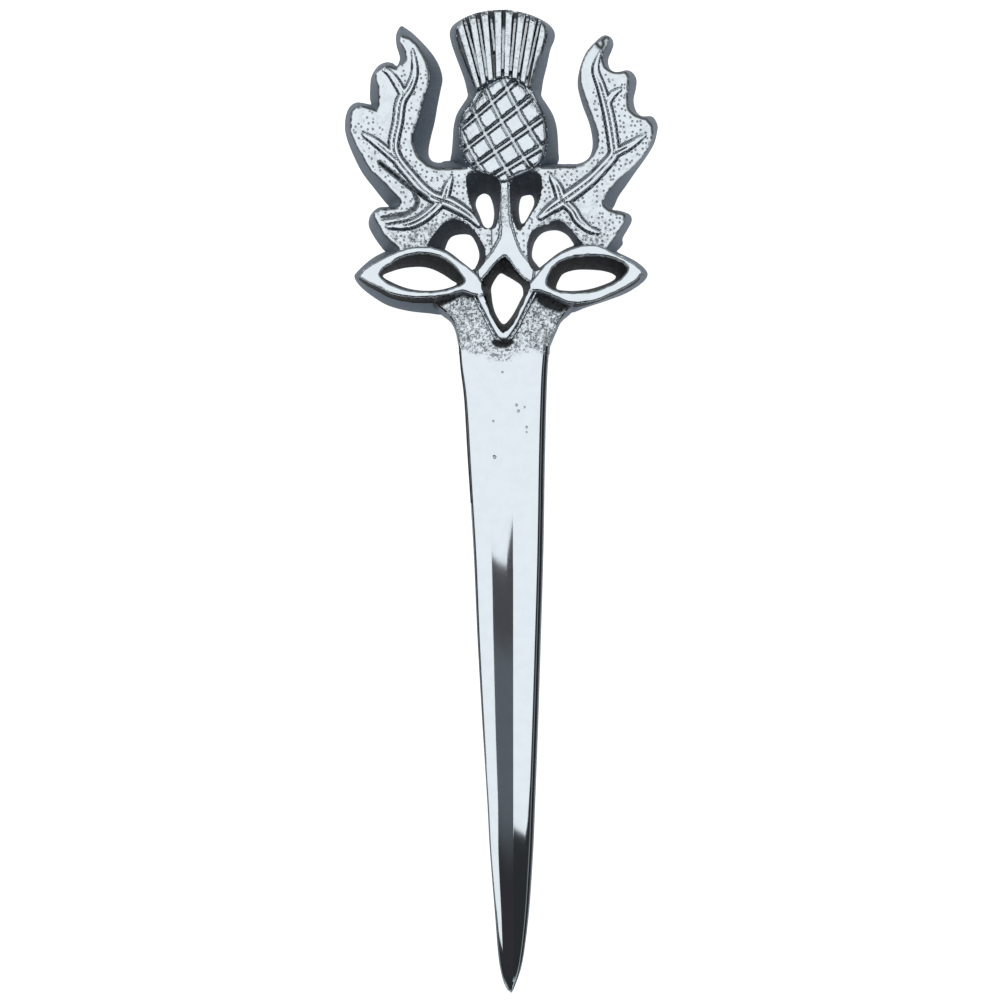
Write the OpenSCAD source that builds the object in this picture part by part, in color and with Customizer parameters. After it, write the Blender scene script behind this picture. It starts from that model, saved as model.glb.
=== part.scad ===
// Kilt pin: a thistle between two lobed leaves over a long plain blade, cast in one piece,
// with a straight pin behind it. It lies on its back: +Z is the front, +Y points to the thistle's top.

/* [Whole pin] */
// Length from the thistle's top to the blade's point
pin_l = 98; // [90:1:110]
// Width across the leaves
head_w = 31.3; // [28:0.1:36]
// Length of the head, from the thistle's top down to the blade
head_l = 33.5; // [30:0.5:38]
// Height of the casting's flat back above what the pin lies on
back_gap = 4.2; // [3.8:0.1:6]

/* [Leaves and thistle] */
// Thickness of the leaves
leaf_t = 2.2; // [1.8:0.1:3]
// Height of a vein above its leaf
vein_h = 0.35; // [0.2:0.05:0.6]
// Width of a leaf's main vein
vein_w = 0.95; // [0.6:0.05:1.4]
// Thickness of the thistle's bulb at its rim
bulb_t = 2.4; // [2:0.1:3.2]
// How far the bulb's middle is domed above its rim
bulb_dome = 0.7; // [0.3:0.1:1.2]
// Height of the diamond pads and of the net between them
net_h = 0.3; // [0.15:0.05:0.5]
// Width of the net's ribs
net_w = 0.4; // [0.25:0.05:0.6]
// Thickness of the thistle's brush between its ribs
brush_t = 2.5; // [2:0.1:3.2]
// How far the brush's middle is domed above its sides
brush_dome = 0.4; // [0.2:0.1:0.8]
// Height of a rib of the brush
rib_h = 0.4; // [0.2:0.05:0.7]
// Width of a rib at the brush's top
rib_w = 0.85; // [0.5:0.05:1]

/* [Loops, stem and neck] */
// Thickness of the two loops
loop_t = 2.9; // [2.4:0.1:3.6]
// Thickness of the forked stem
stem_t = 2.8; // [2.4:0.1:3.6]
// Thickness of the V band that joins the loops
vee_t = 2.9; // [2.4:0.1:3.6]
// Width of the V band's bright face
vee_w = 0.9; // [0.6:0.05:1.3]
// Thickness of the rough ground between the loops and the blade
neck_t = 1.9; // [1.5:0.1:2.4]

/* [Blade] */
// Width of the blade at the neck
blade_w = 9.4; // [8:0.1:11]
// Height of the blade's ridge at the neck
blade_t = 2.8; // [2.4:0.1:3.6]
// Height of the blade's edges at the neck
edge_t = 2.2; // [1.6:0.1:2.4]
// Width of the soft flat along the ridge
ridge_w = 0.6; // [0.2:0.1:1.2]

/* [Back pin] */
// Diameter of the pin's stem
stem_d = 1.6; // [1.2:0.1:2]
// Height of the pin's stem above what the pin lies on
stem_lift = 0.5; // [0.3:0.1:0.9]
// Width of the hinge foot
hinge_w = 6; // [4:0.5:8]
// Length of the hinge foot along the blade
hinge_l = 4.6; // [3:0.2:6]
// Distance from the thistle's top to the hinge foot's upper end
hinge_at = 31.8; // [31:0.1:34]
// Width of the catch
catch_w = 3.6; // [3:0.2:4.2]
// Length of the catch along the blade
catch_l = 4.4; // [3:0.2:6]
// Distance from the thistle's top to the catch's upper end
catch_at = 77; // [70:1:80]
// Thickness of the catch's walls
catch_wall = 0.8; // [0.5:0.1:1]
// Length of the pin's sharpened point
point_l = 3.4; // [2:0.2:5]

/* [Hidden] */

// The head is drawn on squares: x counts them to the right of the middle, d down from the top.
// There are SQUARES_W across head_w and SQUARES_L down head_l.
SQUARES_W = 313;
SQUARES_L = 335;
sq_x = head_w / SQUARES_W;
sq_y = head_l / SQUARES_L;
top_y = pin_l / 2;
blade_l = pin_l - head_l;

// Front edges are drawn as seen from VIEW_H above the back and VIEW_X right of the middle
VIEW_H = 163;
VIEW_X = 5.15;

// Points made between two rows of a table
STEPS = 2;
LEAF_STEPS = 1;
VEIN_STEPS = 1;
THISTLE_STEPS = 1;
// How deep a raised vein, rib or pad is sunk into what carries it
SINK = 0.3;
// Section of a raised vein or rib: half widths as shares, each at a share of its height
FORM = [[0.85, 0.5], [0.35, 1], [-0.35, 1], [-0.85, 0.5]];
// A low ridge's height as a share of a full one's
LOW_RIDGE = 0.5;
// A plate's front edge is eased from this share of its height, where this share of its draft is done
EASE_AT = 0.85;
EASE_DRAFT = 0.8;
// How far a cutter passes the faces that it cuts
PASS = 2;

// Plan of a point at the back, from its squares
function back_pt(x, d) = [x * sq_x, top_y - d * sq_y];

// Plan of a point drawn at height z
function front_pt(x, d, z) =
    [VIEW_X + (x * sq_x - VIEW_X) * (1 - z / VIEW_H), (top_y - d * sq_y) * (1 - z / VIEW_H)];

function mix(a, b, t) = a + (b - a) * t;

// One point of the smooth curve between rows b and c, whose neighbours are a and d
function curve_pt(a, b, c, d, t) =
    0.5 * (2 * b + (c - a) * t + (2 * a - 5 * b + 4 * c - d) * t * t + (3 * b - a - 3 * c + d) * t * t * t);

// Rows of a closed table, smoothed
function closed_rows(rows, n) =
    let (m = len(rows))
    [for (i = [0:m - 1]) for (k = [0:n - 1])
        curve_pt(rows[(i + m - 1) % m], rows[i], rows[(i + 1) % m], rows[(i + 2) % m], k / n)];

// Rows of an open table, smoothed, with both ends kept
function open_rows(rows, n) =
    let (m = len(rows))
    [for (i = [0:m - 2]) for (k = [0:(i == m - 2 ? n : n - 1)])
        curve_pt(rows[max(i - 1, 0)], rows[i], rows[i + 1], rows[min(i + 2, m - 1)], k / n)];

function total(v, i = 0) = i == len(v) - 1 ? v[i] : v[i] + total(v, i + 1);
function middle(ring) = total(ring) / len(ring);
function reversed(v) = [for (i = [len(v) - 1:-1:0]) v[i]];

// Area of a ring, positive where it turns anticlockwise as seen from the tip of axis
function turn(ring, axis) =
    let (c = middle(ring), n = len(ring))
    total([for (i = [0:n - 1]) cross(ring[i] - c, ring[(i + 1) % n] - c) * axis]);

// Solid through closed rings of equally many points, with both ends capped
module skin(drawn) {
    axis = middle(drawn[len(drawn) - 1]) - middle(drawn[0]);
    rings = turn(drawn[0], axis) > 0 ? [for (r = drawn) reversed(r)] : drawn;
    n = len(rings[0]);
    m = len(rings);
    sides = [for (r = [0:m - 2]) for (i = [0:n - 1])
        let (j = (i + 1) % n, a = r * n, b = (r + 1) * n)
        each [[a + i, a + j, b + j], [a + i, b + j, b + i]]];
    low = [for (i = [0:n - 1]) n - 1 - i];
    high = [for (i = [0:n - 1]) (m - 1) * n + i];
    polyhedron(points = [for (ring = rings) each ring], faces = concat([low], sides, [high]));
}

// Ring of a table whose rows are [back x, back d, front x, front d], at height z.
// share is 0 on the back's outline and 1 on the front's, which is drawn at height t.
function wall_ring(rows, t, z, share) =
    [for (r = rows)
        let (p = mix(back_pt(r[0], r[1]), front_pt(r[2], r[3], t), share))
        [p[0], p[1], z]];

// Plate with sloped sides and a slightly eased front edge
module plate(table, t, n = STEPS) {
    rows = closed_rows(table, n);
    skin([wall_ring(rows, t, 0, 0), wall_ring(rows, t, t * EASE_AT, EASE_DRAFT), wall_ring(rows, t, t, 1)]);
}

// What a pierced hole removes: it narrows towards the back
module hole(table, t) {
    rows = closed_rows(table, STEPS);
    skin([wall_ring(rows, t, -PASS, 0), wall_ring(rows, t, 0, 0),
          wall_ring(rows, t, t, 1), wall_ring(rows, t, t + PASS, 1)]);
}

// Raised ridge along a table of [x, d, width share], standing h over a ground at height z
module ridge(table, z, w, h) {
    rows = open_rows(table, VEIN_STEPS);
    n = len(rows);
    pts = [for (r = rows) front_pt(r[0], r[1], z + h)];
    skin([for (i = [0:n - 1])
        let (a = pts[max(i - 1, 0)], b = pts[min(i + 1, n - 1)], along = (b - a) / norm(b - a),
             side = [-along[1], along[0]], half = w * rows[i][2] / 2, rise = h * mix(LOW_RIDGE, 1, rows[i][2]))
        [for (q = ridge_section(rise))
            [pts[i][0] + side[0] * half * q[0], pts[i][1] + side[1] * half * q[0], z + q[1]]]]);
}

// Section of a ridge that stands rise high: half width share and height
function ridge_section(rise) =
    concat([[-1, -SINK], [1, -SINK]], [for (q = FORM) [q[0], rise * q[1]]]);

// Outlines of the two leaves with the web below them: back x, back d, front x, front d
LEFT_PLATE = [
    [-50, 150, -34, 157], [-60, 152, -53, 158], [-67, 151, -63, 158], [-71, 147, -73, 154],
    [-72, 140, -83, 145], [-70, 128, -87, 135], [-66, 112, -88, 123], [-63, 95, -82, 105],
    [-60, 80, -77, 87], [-58, 68, -72, 72], [-61, 56, -72, 60], [-67, 45, -76, 47],
    [-76, 34, -82, 37], [-87, 23, -89, 29], [-95, 17, -95, 26], [-100, 15, -100, 26],
    [-104, 21, -101, 30], [-105, 28, -99, 33], [-104, 36, -96, 39], [-101, 47, -94, 49],
    [-104, 55, -100, 54], [-108, 52, -105, 57], [-115, 51, -114, 55], [-122, 54, -120, 58],
    [-127, 60, -125, 63], [-130, 67, -124, 70], [-131, 78, -122, 78], [-131, 88, -122, 92],
    [-130, 93, -124, 99], [-136, 92, -130, 97], [-144, 91, -138, 95], [-150, 94, -144, 96],
    [-154, 100, -149, 100], [-156, 109, -150, 108], [-156, 120, -150, 121], [-152, 134, -145, 133],
    [-145, 150, -137, 147], [-138, 163, -130, 159], [-128, 176, -121, 167], [-117, 190, -108, 180],
    [-112, 196, -100, 190], [-117, 196, -103, 197], [-123, 197, -115, 198], [-129, 202, -124, 201],
    [-132, 208, -127, 204], [-132, 216, -124, 210], [-127, 226, -118, 221], [-120, 236, -110, 230],
    [-114, 242, -102, 237], [-92, 256, -92, 254], [-30, 272, -30, 272], [4, 262, 4, 262],
    [4, 150, 4, 150]];
RIGHT_PLATE = [
    [58, 154, 42, 157], [67, 154, 61, 157], [77, 154, 75, 157], [85, 151, 86, 153],
    [90, 145, 94, 145], [92, 135, 98, 134], [91, 124, 97, 121], [88, 112, 92, 107],
    [83, 99, 87, 93], [79, 86, 82, 78], [77, 75, 80, 66], [78, 64, 82, 54],
    [81, 53, 86, 45], [86, 42, 91, 38], [94, 33, 96, 34], [101, 27, 101, 31],
    [106, 26, 105, 28], [111, 29, 108, 29], [113, 35, 107, 34], [111, 42, 104, 39],
    [108, 49, 102, 47], [108, 56, 103, 55], [111, 61, 106, 59], [117, 63, 113, 63],
    [125, 61, 121, 63], [130, 62, 126, 64], [134, 66, 128, 69], [136, 72, 128, 75],
    [135, 81, 127, 84], [133, 90, 127, 93], [134, 98, 128, 99], [137, 104, 132, 104],
    [142, 107, 139, 108], [150, 107, 146, 110], [154, 110, 150, 115], [157, 117, 152, 122],
    [156, 125, 151, 129], [154, 133, 149, 135], [150, 141, 144, 144], [142, 153, 136, 153],
    [134, 164, 127, 162], [125, 177, 116, 171], [118, 187, 107, 182], [114, 196, 103, 191],
    [112, 200, 105, 198], [118, 201, 113, 202], [125, 203, 120, 204], [130, 206, 124, 206],
    [131, 212, 123, 212], [127, 220, 118, 221], [122, 229, 112, 230], [120, 238, 106, 238],
    [95, 256, 95, 256], [36, 274, 36, 274], [-4, 262, -4, 262], [-4, 150, -4, 150]];

// Veins of each leaf: x, d, width share
LEFT_VEINS = [
    [[-88, 40, 0.3], [-86, 60, 0.6], [-91, 76, 0.8], [-100, 90, 1], [-103, 110, 1], [-107, 140, 1],
     [-90, 165, 1], [-70, 185, 1.1], [-50, 193, 1.2], [-32, 204, 0.9], [-22, 214, 0.5]],
    [[-97, 84, 0.7], [-105, 70, 0.7], [-112, 61, 0.5], [-117, 59, 0.3]],
    [[-105, 148, 0.8], [-125, 131, 0.7], [-138, 123, 0.3]],
    [[-60, 192, 0.9], [-76, 206, 0.9], [-92, 214, 0.8], [-114, 216, 0.3]],
    [[-57, 190, 0.9], [-53, 176, 0.7], [-49, 167, 0.3]]];
RIGHT_VEINS = [
    [[99, 44, 0.3], [95, 60, 0.6], [101, 79, 0.8], [108, 105, 1], [113, 135, 1], [113, 145, 1],
     [104, 156, 1], [88, 172, 1.1], [62, 191, 1.2], [50, 199, 0.9], [40, 207, 0.5]],
    [[107, 92, 0.7], [113, 84, 0.6], [120, 80, 0.3]],
    [[114, 144, 0.8], [129, 136, 0.7], [144, 126, 0.3]],
    [[62, 191, 0.9], [72, 200, 0.8], [78, 210, 0.8], [88, 219, 0.6], [98, 223, 0.3]],
    [[61, 190, 0.9], [57, 177, 0.8], [50, 166, 0.3]]];

// Thistle's bulb and brush, across: d, left at the back, right at the back, left rim, right rim
BULB = [
    [78, -33, 41, -22, 30], [86, -33, 41, -26, 34], [94, -38, 46, -31, 38], [104, -44, 52, -38, 43],
    [116, -47, 56, -41, 46], [130, -48, 57.5, -41, 47], [142, -49, 58, -39, 45], [152, -50, 58, -34, 41],
    [160, -42, 50, -26, 33], [166, -26, 34, -14, 20], [171, -10, 18, -3, 9]];
BRUSH = [
    [0, -22, 22, -18, 20], [4, -37, 35, -33, 28], [9, -45, 44, -41, 40], [18, -50, 54, -44, 46],
    [27, -51, 55, -44, 45], [40, -47, 50, -40, 42], [56, -41, 46.5, -34, 36], [70, -36, 43, -28, 32],
    [83, -33, 41, -22, 30]];

// Ribs of the brush: x at the top, x at the bottom, d at the top, d at the bottom
RIBS = [
    [-41.5, -23, 11, 72], [-28.5, -17, 6, 72], [-16, -10, 4, 68], [-3, -2, 3, 64],
    [9, 6, 3, 64], [21, 14, 5, 68], [33, 22, 7, 72], [43, 29, 11, 74]];

// The net of diamonds on the bulb: a crossing and the two steps to the next ones
NET_AT = [0, 110];
NET_A = [9.8, 19.1];
NET_B = [16.6, -12.3];
// Diamonds left and right, up and down of that crossing
NET_N = 3;
// The lower ribs' height as a share of the others'
NET_LOW = 0.8;
// Half width of a net rib's top as a share of its foot's
NET_TOP = 0.5;
// Share of a diamond that its pad fills, at its foot and at its top
PAD_FOOT = 0.66;
PAD_TOP = 0.54;
// Pads stand within this many squares across and down from the bulb's middle
PADS_AT = [3, 120];
PADS_REACH = [48, 46];

// Left and right loop, and the holes in them: back x, back d, front x, front d
LEFT_LOOP = [
    [-146.5, 267, -142, 265], [-144, 261, -136, 258], [-128, 247, -125, 251], [-108, 238, -107, 242],
    [-89, 235, -89, 236.5], [-70, 235, -70, 236.5], [-54, 240, -54, 242], [-38, 252, -38, 253],
    [-25, 263, -25, 263], [-14, 278, -19, 271], [-12, 292, -16, 284], [-20, 294, -27, 285],
    [-35, 294, -38, 281.5], [-55, 304, -54, 286], [-72, 303, -70, 287.5], [-93, 300.5, -89, 287.5],
    [-113, 295, -107, 284.5], [-129, 285.5, -123, 277], [-141, 275.5, -139, 269]];
LEFT_LOOP_HOLE = [
    [-118, 265.5, -121.5, 263], [-109, 261, -111, 254], [-96, 257.5, -99, 247], [-80, 256.5, -82, 243.5],
    [-68, 259, -68, 244.5], [-57, 264.5, -54, 250], [-49, 270, -44, 259], [-44, 274, -36.5, 271],
    [-54, 278, -48, 277], [-66, 280, -62, 280.5], [-80, 280, -78, 281], [-94, 277.5, -95, 279],
    [-108, 272, -111, 273]];
RIGHT_LOOP = [
    [147, 265, 142, 262], [143, 258, 132, 253], [134, 251, 113, 243], [120, 244, 97, 235.5],
    [97, 233, 81, 235.5], [76, 235, 60, 243], [58, 243, 44, 255], [40, 257, 32, 270],
    [18, 274, 23, 281], [22, 292, 33, 281], [42, 292, 47, 284], [55, 302, 57, 289],
    [71, 303, 73, 294], [85, 298, 95, 291.5], [105, 291.5, 115, 283], [126, 283.5, 133, 273],
    [142, 273, 139, 267]];
RIGHT_LOOP_HOLE = [
    [56, 278.5, 48, 276.5], [58, 271, 47, 268], [63, 264, 54, 256], [74, 260.5, 66, 249.5],
    [86, 260, 82, 246.5], [100, 261, 99, 246.5], [110, 263.5, 115, 250], [115, 267, 127, 258],
    [112, 271, 120, 269], [103, 275, 107, 276.5], [90, 279, 91, 281.5], [75, 281, 77, 282.5],
    [62, 280.5, 60, 281.5]];

// Other pierced holes: back x, back d, front x, front d
LEFT_DROP = [
    [-16, 183.5, -15, 163], [-11, 186, -3, 168], [-8, 193, 0, 174], [-6.5, 202, 0, 190],
    [-7, 210, -1, 202], [-9, 216, -3, 213], [-13, 218, -6, 218.5], [-17, 215, -17, 218],
    [-21, 205, -24, 208], [-24.5, 196, -31, 192], [-24, 190, -34, 177], [-21, 185.5, -33, 163]];
RIGHT_DROP = [
    [21, 187.5, 11, 171], [26, 185.5, 20, 165], [31, 185.5, 34, 161], [33.5, 190, 40.5, 166],
    [33, 196, 42, 178], [29, 204, 38, 193], [25, 211, 30, 206], [22, 213.5, 22, 218],
    [20, 211, 17, 219], [18.6, 202, 12, 209], [19, 194, 9, 188]];
LEFT_EYE = [
    [-56, 241, -73, 234], [-52, 230, -67, 223], [-45, 225, -58, 213], [-32, 224.5, -48, 208.5],
    [-26, 230, -37, 211], [-22, 240, -28, 218], [-21.5, 248, -20, 229], [-24, 255, -15, 241],
    [-28, 260, -16, 253], [-36, 258, -28, 262], [-48, 250, -54, 254], [-56, 246, -70, 244]];
RIGHT_EYE = [
    [32, 248, 27, 248], [32, 240, 27, 236], [35, 231, 29, 225], [41, 224, 35, 218],
    [49, 221, 45, 215], [58, 221, 53, 211], [66, 225, 61, 211], [71, 231, 69, 218],
    [73, 236, 78, 228], [68, 243, 82, 238], [52, 253, 62, 252], [41, 258, 41, 260],
    [36, 254, 32, 260]];
CENTRE_HOLE = [
    [0, 263.5, 3.5, 246.5], [6, 266, 13, 257], [13, 270, 22, 267], [21, 276, 30, 275],
    [22.6, 284, 26, 287], [20, 290, 19, 302], [12, 305, 11, 317], [3.5, 314, 2.5, 322],
    [-3, 307, -4, 316], [-7, 297, -11, 303], [-9, 284, -17, 285], [-9, 277, -19.5, 273],
    [-5, 269, -12, 262]];

// Ground of the forked stem, and the rough ground of the neck: back x, back d, front x, front d
STEM = [
    [-8, 168, 0, 170], [-7, 190, -1, 195], [-6, 210, -0.5, 214], [-8, 228, -1, 226],
    [-14, 240, -6, 236], [-22, 252, -13, 247], [-32, 264, -24, 259], [-28, 276, -20, 270],
    [-12, 268, -14, 264], [-4, 258, -4, 254], [3.5, 252, 3.5, 246.5], [12, 258, 12, 256],
    [24, 272, 22, 267], [32, 280, 30, 275], [38, 270, 34, 259], [30, 254, 24, 246],
    [24, 242, 18, 235], [20, 228, 14, 223], [16, 210, 10.5, 212], [14, 190, 9, 190],
    [14, 168, 8, 170]];
NECK = [
    [-72, 290, -66, 288], [-60, 304, -52, 303], [-50, 312, -46, 313], [-45, 322, -42, 323],
    [-42, 336, -40, 337], [-37, 350, -35, 350], [3, 352, 3, 352], [44, 350, 42, 350],
    [50, 336, 47, 337], [56, 322, 53, 323], [61, 312, 57, 312], [71, 303, 64, 302],
    [80, 290, 74, 288], [40, 276, 40, 276], [24, 284, 24, 284], [12, 304, 12, 304],
    [2, 314, 2, 314], [-6, 304, -6, 304], [-12, 286, -12, 286], [-34, 278, -34, 278]];

// Middle line of the V band: x, d, width share
VEE = [
    [-26, 275, 1], [-21, 289, 1], [-14, 303, 0.9], [-7, 317, 0.9], [-1, 326, 1.1], [4, 327.5, 1.2],
    [8, 324, 1.1], [15, 314, 0.9], [22, 300, 0.9], [29, 286, 1], [35, 275, 1]];

// The blade: share of its length, left and right of its ridge line as shares of blade_w,
// ridge and edge heights as shares of blade_t and edge_t
BLADE = [
    [-0.03, 0.548, 0.452, 0.7, 0.9], [0.031, 0.521, 0.415, 0.95, 1], [0.085, 0.479, 0.399, 1, 1],
    [0.178, 0.441, 0.383, 1, 1], [0.318, 0.378, 0.367, 0.97, 0.98], [0.457, 0.335, 0.340, 0.93, 0.96],
    [0.597, 0.280, 0.309, 0.87, 0.93], [0.705, 0.234, 0.281, 0.82, 0.9], [0.783, 0.205, 0.259, 0.77, 0.87],
    [0.876, 0.153, 0.216, 0.68, 0.79], [0.953, 0.109, 0.149, 0.57, 0.68], [0.989, 0.051, 0.077, 0.45, 0.53],
    [1, -0.02, 0.034, 0.35, 0.4]];
// Ridge line of the blade, right of the middle
blade_x = 8.5 * sq_x;
// Middle of the ridge's flat, right of the ridge line
RIDGE_AT = 0.2;
// Draft of the blade's edges
EDGE_DRAFT = 0.2;
BLADE_STEPS = 2;

// Height of the bulb or brush at x between its rims, with a round crown of the given rise
function crown(x, left, right, t, rise) =
    let (u = (2 * x - left - right) / (right - left)) t + rise * sqrt(max(0, 1 - u * u));

// Ring across the thistle through one row of its table
ACROSS = 10;
function thistle_ring(r, t, rise) =
    let (a = back_pt(r[1], r[0]), b = back_pt(r[2], r[0]),
         c = front_pt(r[3], r[0], t), e = front_pt(r[4], r[0], t))
    concat([[b[0], b[1], 0], [a[0], a[1], 0]],
        [for (i = [0:ACROSS])
            let (x = mix(c[0], e[0], (1 - cos(180 * i / ACROSS)) / 2))
            [x, c[1], crown(x, c[0], e[0], t, rise)]]);

module thistle_form(table, t, rise) {
    rows = open_rows(table, THISTLE_STEPS);
    skin([for (r = rows) thistle_ring(r, t, rise)]);
}

// Rim of the bulb at d squares: left and right, from its table
function rim(table, d, i = 0) =
    d <= table[i + 1][0] || i == len(table) - 2
        ? mix(table[i], table[i + 1], (d - table[i][0]) / (table[i + 1][0] - table[i][0]))
        : rim(table, d, i + 1);
function bulb_z(x, d) =
    let (r = rim(BULB, d)) crown(x, r[3], r[4], bulb_t, bulb_dome);

// Plan of the bulb's front, NET_RIM squares inside its rim, to clip the net
NET_RIM = 1;
module bulb_face() {
    z = bulb_t + bulb_dome;
    polygon(concat([for (r = BULB) front_pt(r[3] + NET_RIM, r[0], z)],
        [for (i = [len(BULB) - 1:-1:0]) front_pt(BULB[i][4] - NET_RIM, BULB[i][0], z)]));
}

// Middle of the diamond between four crossings of the net
function pad_at(i, j) = NET_AT + NET_A * (i + 0.5) + NET_B * (j + 0.5);

// The pad in the diamond round c, standing on the dome
module pad(c) {
    hull() skin([for (end = [[PAD_FOOT, -SINK], [PAD_TOP, net_h]])
        [for (q = [[-1, -1], [-1, 1], [1, 1], [1, -1]])
            let (s = c + NET_A * (q[0] * end[0] / 2) + NET_B * (q[1] * end[0] / 2),
                 p = front_pt(s[0], s[1], bulb_t + bulb_dome))
            [p[0], p[1], bulb_z(s[0], s[1]) + end[1]]]]);
}

// One rib of the net from crossing p along step, over n steps each way, rise above the dome
module net_rib(p, step, n, rise) {
    pts = [for (k = [-n:n]) p + step * k];
    flat = [for (s = pts) front_pt(s[0], s[1], bulb_t + bulb_dome)];
    along = (flat[1] - flat[0]) / norm(flat[1] - flat[0]);
    side = [-along[1], along[0]] * net_w / 2;
    skin([for (k = [0:len(pts) - 1])
        let (z = bulb_z(pts[k][0], pts[k][1]))
        [for (q = [[-1, -SINK], [1, -SINK], [NET_TOP, rise], [-NET_TOP, rise]])
            [flat[k][0] + side[0] * q[0], flat[k][1] + side[1] * q[0], z + q[1]]]]);
}

module bulb() {
    thistle_form(BULB, bulb_t, bulb_dome);
    intersection() {
        linear_extrude(bulb_t + bulb_dome + net_h + 1) bulb_face();
        union() {
            for (i = [-NET_N:NET_N - 1]) for (j = [-NET_N:NET_N - 1]) {
                off = pad_at(i, j) - PADS_AT;
                if (abs(off[0]) < PADS_REACH[0] && abs(off[1]) < PADS_REACH[1]) pad(pad_at(i, j));
            }
            for (k = [-NET_N:NET_N]) {
                net_rib(NET_AT + NET_B * k, NET_A, NET_N, net_h);
                net_rib(NET_AT + NET_A * k, NET_B, NET_N, net_h * NET_LOW);
            }
        }
    }
}

// The brush and its fanned ribs
module brush() {
    thistle_form(BRUSH, brush_t, brush_dome);
    for (r = RIBS) {
        rows = [for (k = [0:4]) [mix(r[0], r[1], k / 4), mix(r[2], r[3], k / 4), mix(1, 0.7, k / 4)]];
        brush_rib(rows);
    }
}

module brush_rib(rows) {
    n = len(rows);
    flat = [for (r = rows) front_pt(r[0], r[1], brush_t + brush_dome)];
    skin([for (k = [0:n - 1])
        let (edge = rim(BRUSH, rows[k][1]), half = rib_w * rows[k][2] / 2,
             z = crown(rows[k][0], edge[3], edge[4], brush_t, brush_dome))
        [for (q = ridge_section(rib_h))
            [flat[k][0] + half * q[0], flat[k][1], z + q[1]]]]);
}

module leaves() {
    plate(LEFT_PLATE, leaf_t, LEAF_STEPS);
    plate(RIGHT_PLATE, leaf_t, LEAF_STEPS);
    for (v = concat(LEFT_VEINS, RIGHT_VEINS)) ridge(v, leaf_t, vein_w, vein_h);
}

// The blade, as rings across it
module blade() {
    rows = open_rows(BLADE, BLADE_STEPS);
    skin([for (i = [len(rows) - 1:-1:0])
        let (r = rows[i], y = top_y - head_l - r[0] * blade_l,
             left = -r[1] * blade_w, right = r[2] * blade_w, ridge_z = blade_t * r[3], edge_z = edge_t * r[4],
             cant = min(EDGE_DRAFT, (right - left) / 6), flat = min(ridge_w, (right - left) / 4) / 2,
             mid = max(left + cant + flat, min(RIDGE_AT, right - cant - flat)))
        [for (p = [[left, 0], [right, 0], [right - cant, edge_z], [mid + flat, ridge_z],
                   [mid - flat, ridge_z], [left + cant, edge_z]])
            [blade_x + p[0], y, p[1]]]]);
}

// The whole front, cast in one piece, with its holes pierced
module casting() {
    color("silver") translate([0, 0, back_gap]) {
        difference() {
            union() {
                difference() {
                    union() {
                        leaves();
                        bulb();
                        plate(STEM, stem_t);
                    }
                    hole(LEFT_DROP, leaf_t);
                    hole(RIGHT_DROP, leaf_t);
                    hole(LEFT_EYE, leaf_t);
                    hole(RIGHT_EYE, leaf_t);
                }
                brush();
                plate(NECK, neck_t);
                plate(LEFT_LOOP, loop_t);
                plate(RIGHT_LOOP, loop_t);
                ridge(VEE, vee_t - vein_h, vee_w, vein_h);
                blade();
            }
            hole(LEFT_LOOP_HOLE, loop_t);
            hole(RIGHT_LOOP_HOLE, loop_t);
            hole(CENTRE_HOLE, stem_t);
        }
    }
}

// The fastening behind the blade: hinge foot, straight pin and catch, in one plain piece
module back_pin() {
    hinge_y = top_y - hinge_at;
    catch_y = top_y - catch_at;
    stem_z = stem_lift + stem_d / 2;
    tip_y = catch_y - catch_l - point_l;
    color("gainsboro") union() {
        translate([blade_x - hinge_w / 2, hinge_y - hinge_l, 0]) cube([hinge_w, hinge_l, back_gap]);
        translate([blade_x, hinge_y - hinge_l / 2, stem_z]) rotate([90, 0, 0])
            cylinder(d = stem_d, h = hinge_y - hinge_l / 2 - tip_y - point_l, $fn = 32);
        translate([blade_x, tip_y + point_l, stem_z]) rotate([90, 0, 0])
            cylinder(d1 = stem_d, d2 = stem_d / 8, h = point_l, $fn = 32);
        catch(catch_y);
    }
}

// The catch: a plate on the casting, one side wall, and a lip under the pin
module catch(y) {
    left = blade_x - catch_w / 2;
    lip = stem_lift + stem_d / 4;
    translate([left, y - catch_l, 0]) {
        cube([catch_w, catch_l, lip]);
        cube([catch_wall, catch_l, back_gap]);
        translate([0, 0, back_gap - catch_wall]) cube([catch_w, catch_l, catch_wall]);
    }
}

casting();
back_pin();
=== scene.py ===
"""Kilt pin: a thistle between two lobed leaves over a long plain blade, plated and cast in one piece.

The head is drawn on squares: u counts them to the right of the middle and v down from the thistle's
top, as the eye above the pin sees them. A shape is cast as its carved face, a grid over u and v, kept
where it lies inside its drafted outline, and all the shapes are then joined to one solid.
"""

import math

import bmesh
import bpy
import numpy as np
from mathutils import Matrix, Vector


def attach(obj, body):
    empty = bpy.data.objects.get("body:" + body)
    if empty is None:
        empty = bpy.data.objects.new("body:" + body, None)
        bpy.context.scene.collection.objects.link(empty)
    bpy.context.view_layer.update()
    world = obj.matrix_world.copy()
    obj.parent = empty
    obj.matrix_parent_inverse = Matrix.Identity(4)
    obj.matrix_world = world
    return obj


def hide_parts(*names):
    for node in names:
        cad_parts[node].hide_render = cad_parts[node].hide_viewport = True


bl_info = {
    "name": "Kilt Pin",
    "version": (1, 0, 0),
    "blender": (4, 5, 0),
    "location": "View3D > Sidebar > Kilt Pin",
    "description": "Dresses the kilt pin's casting and back pin, and lays them on a pale floor",
    "category": "Object",
}

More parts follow.
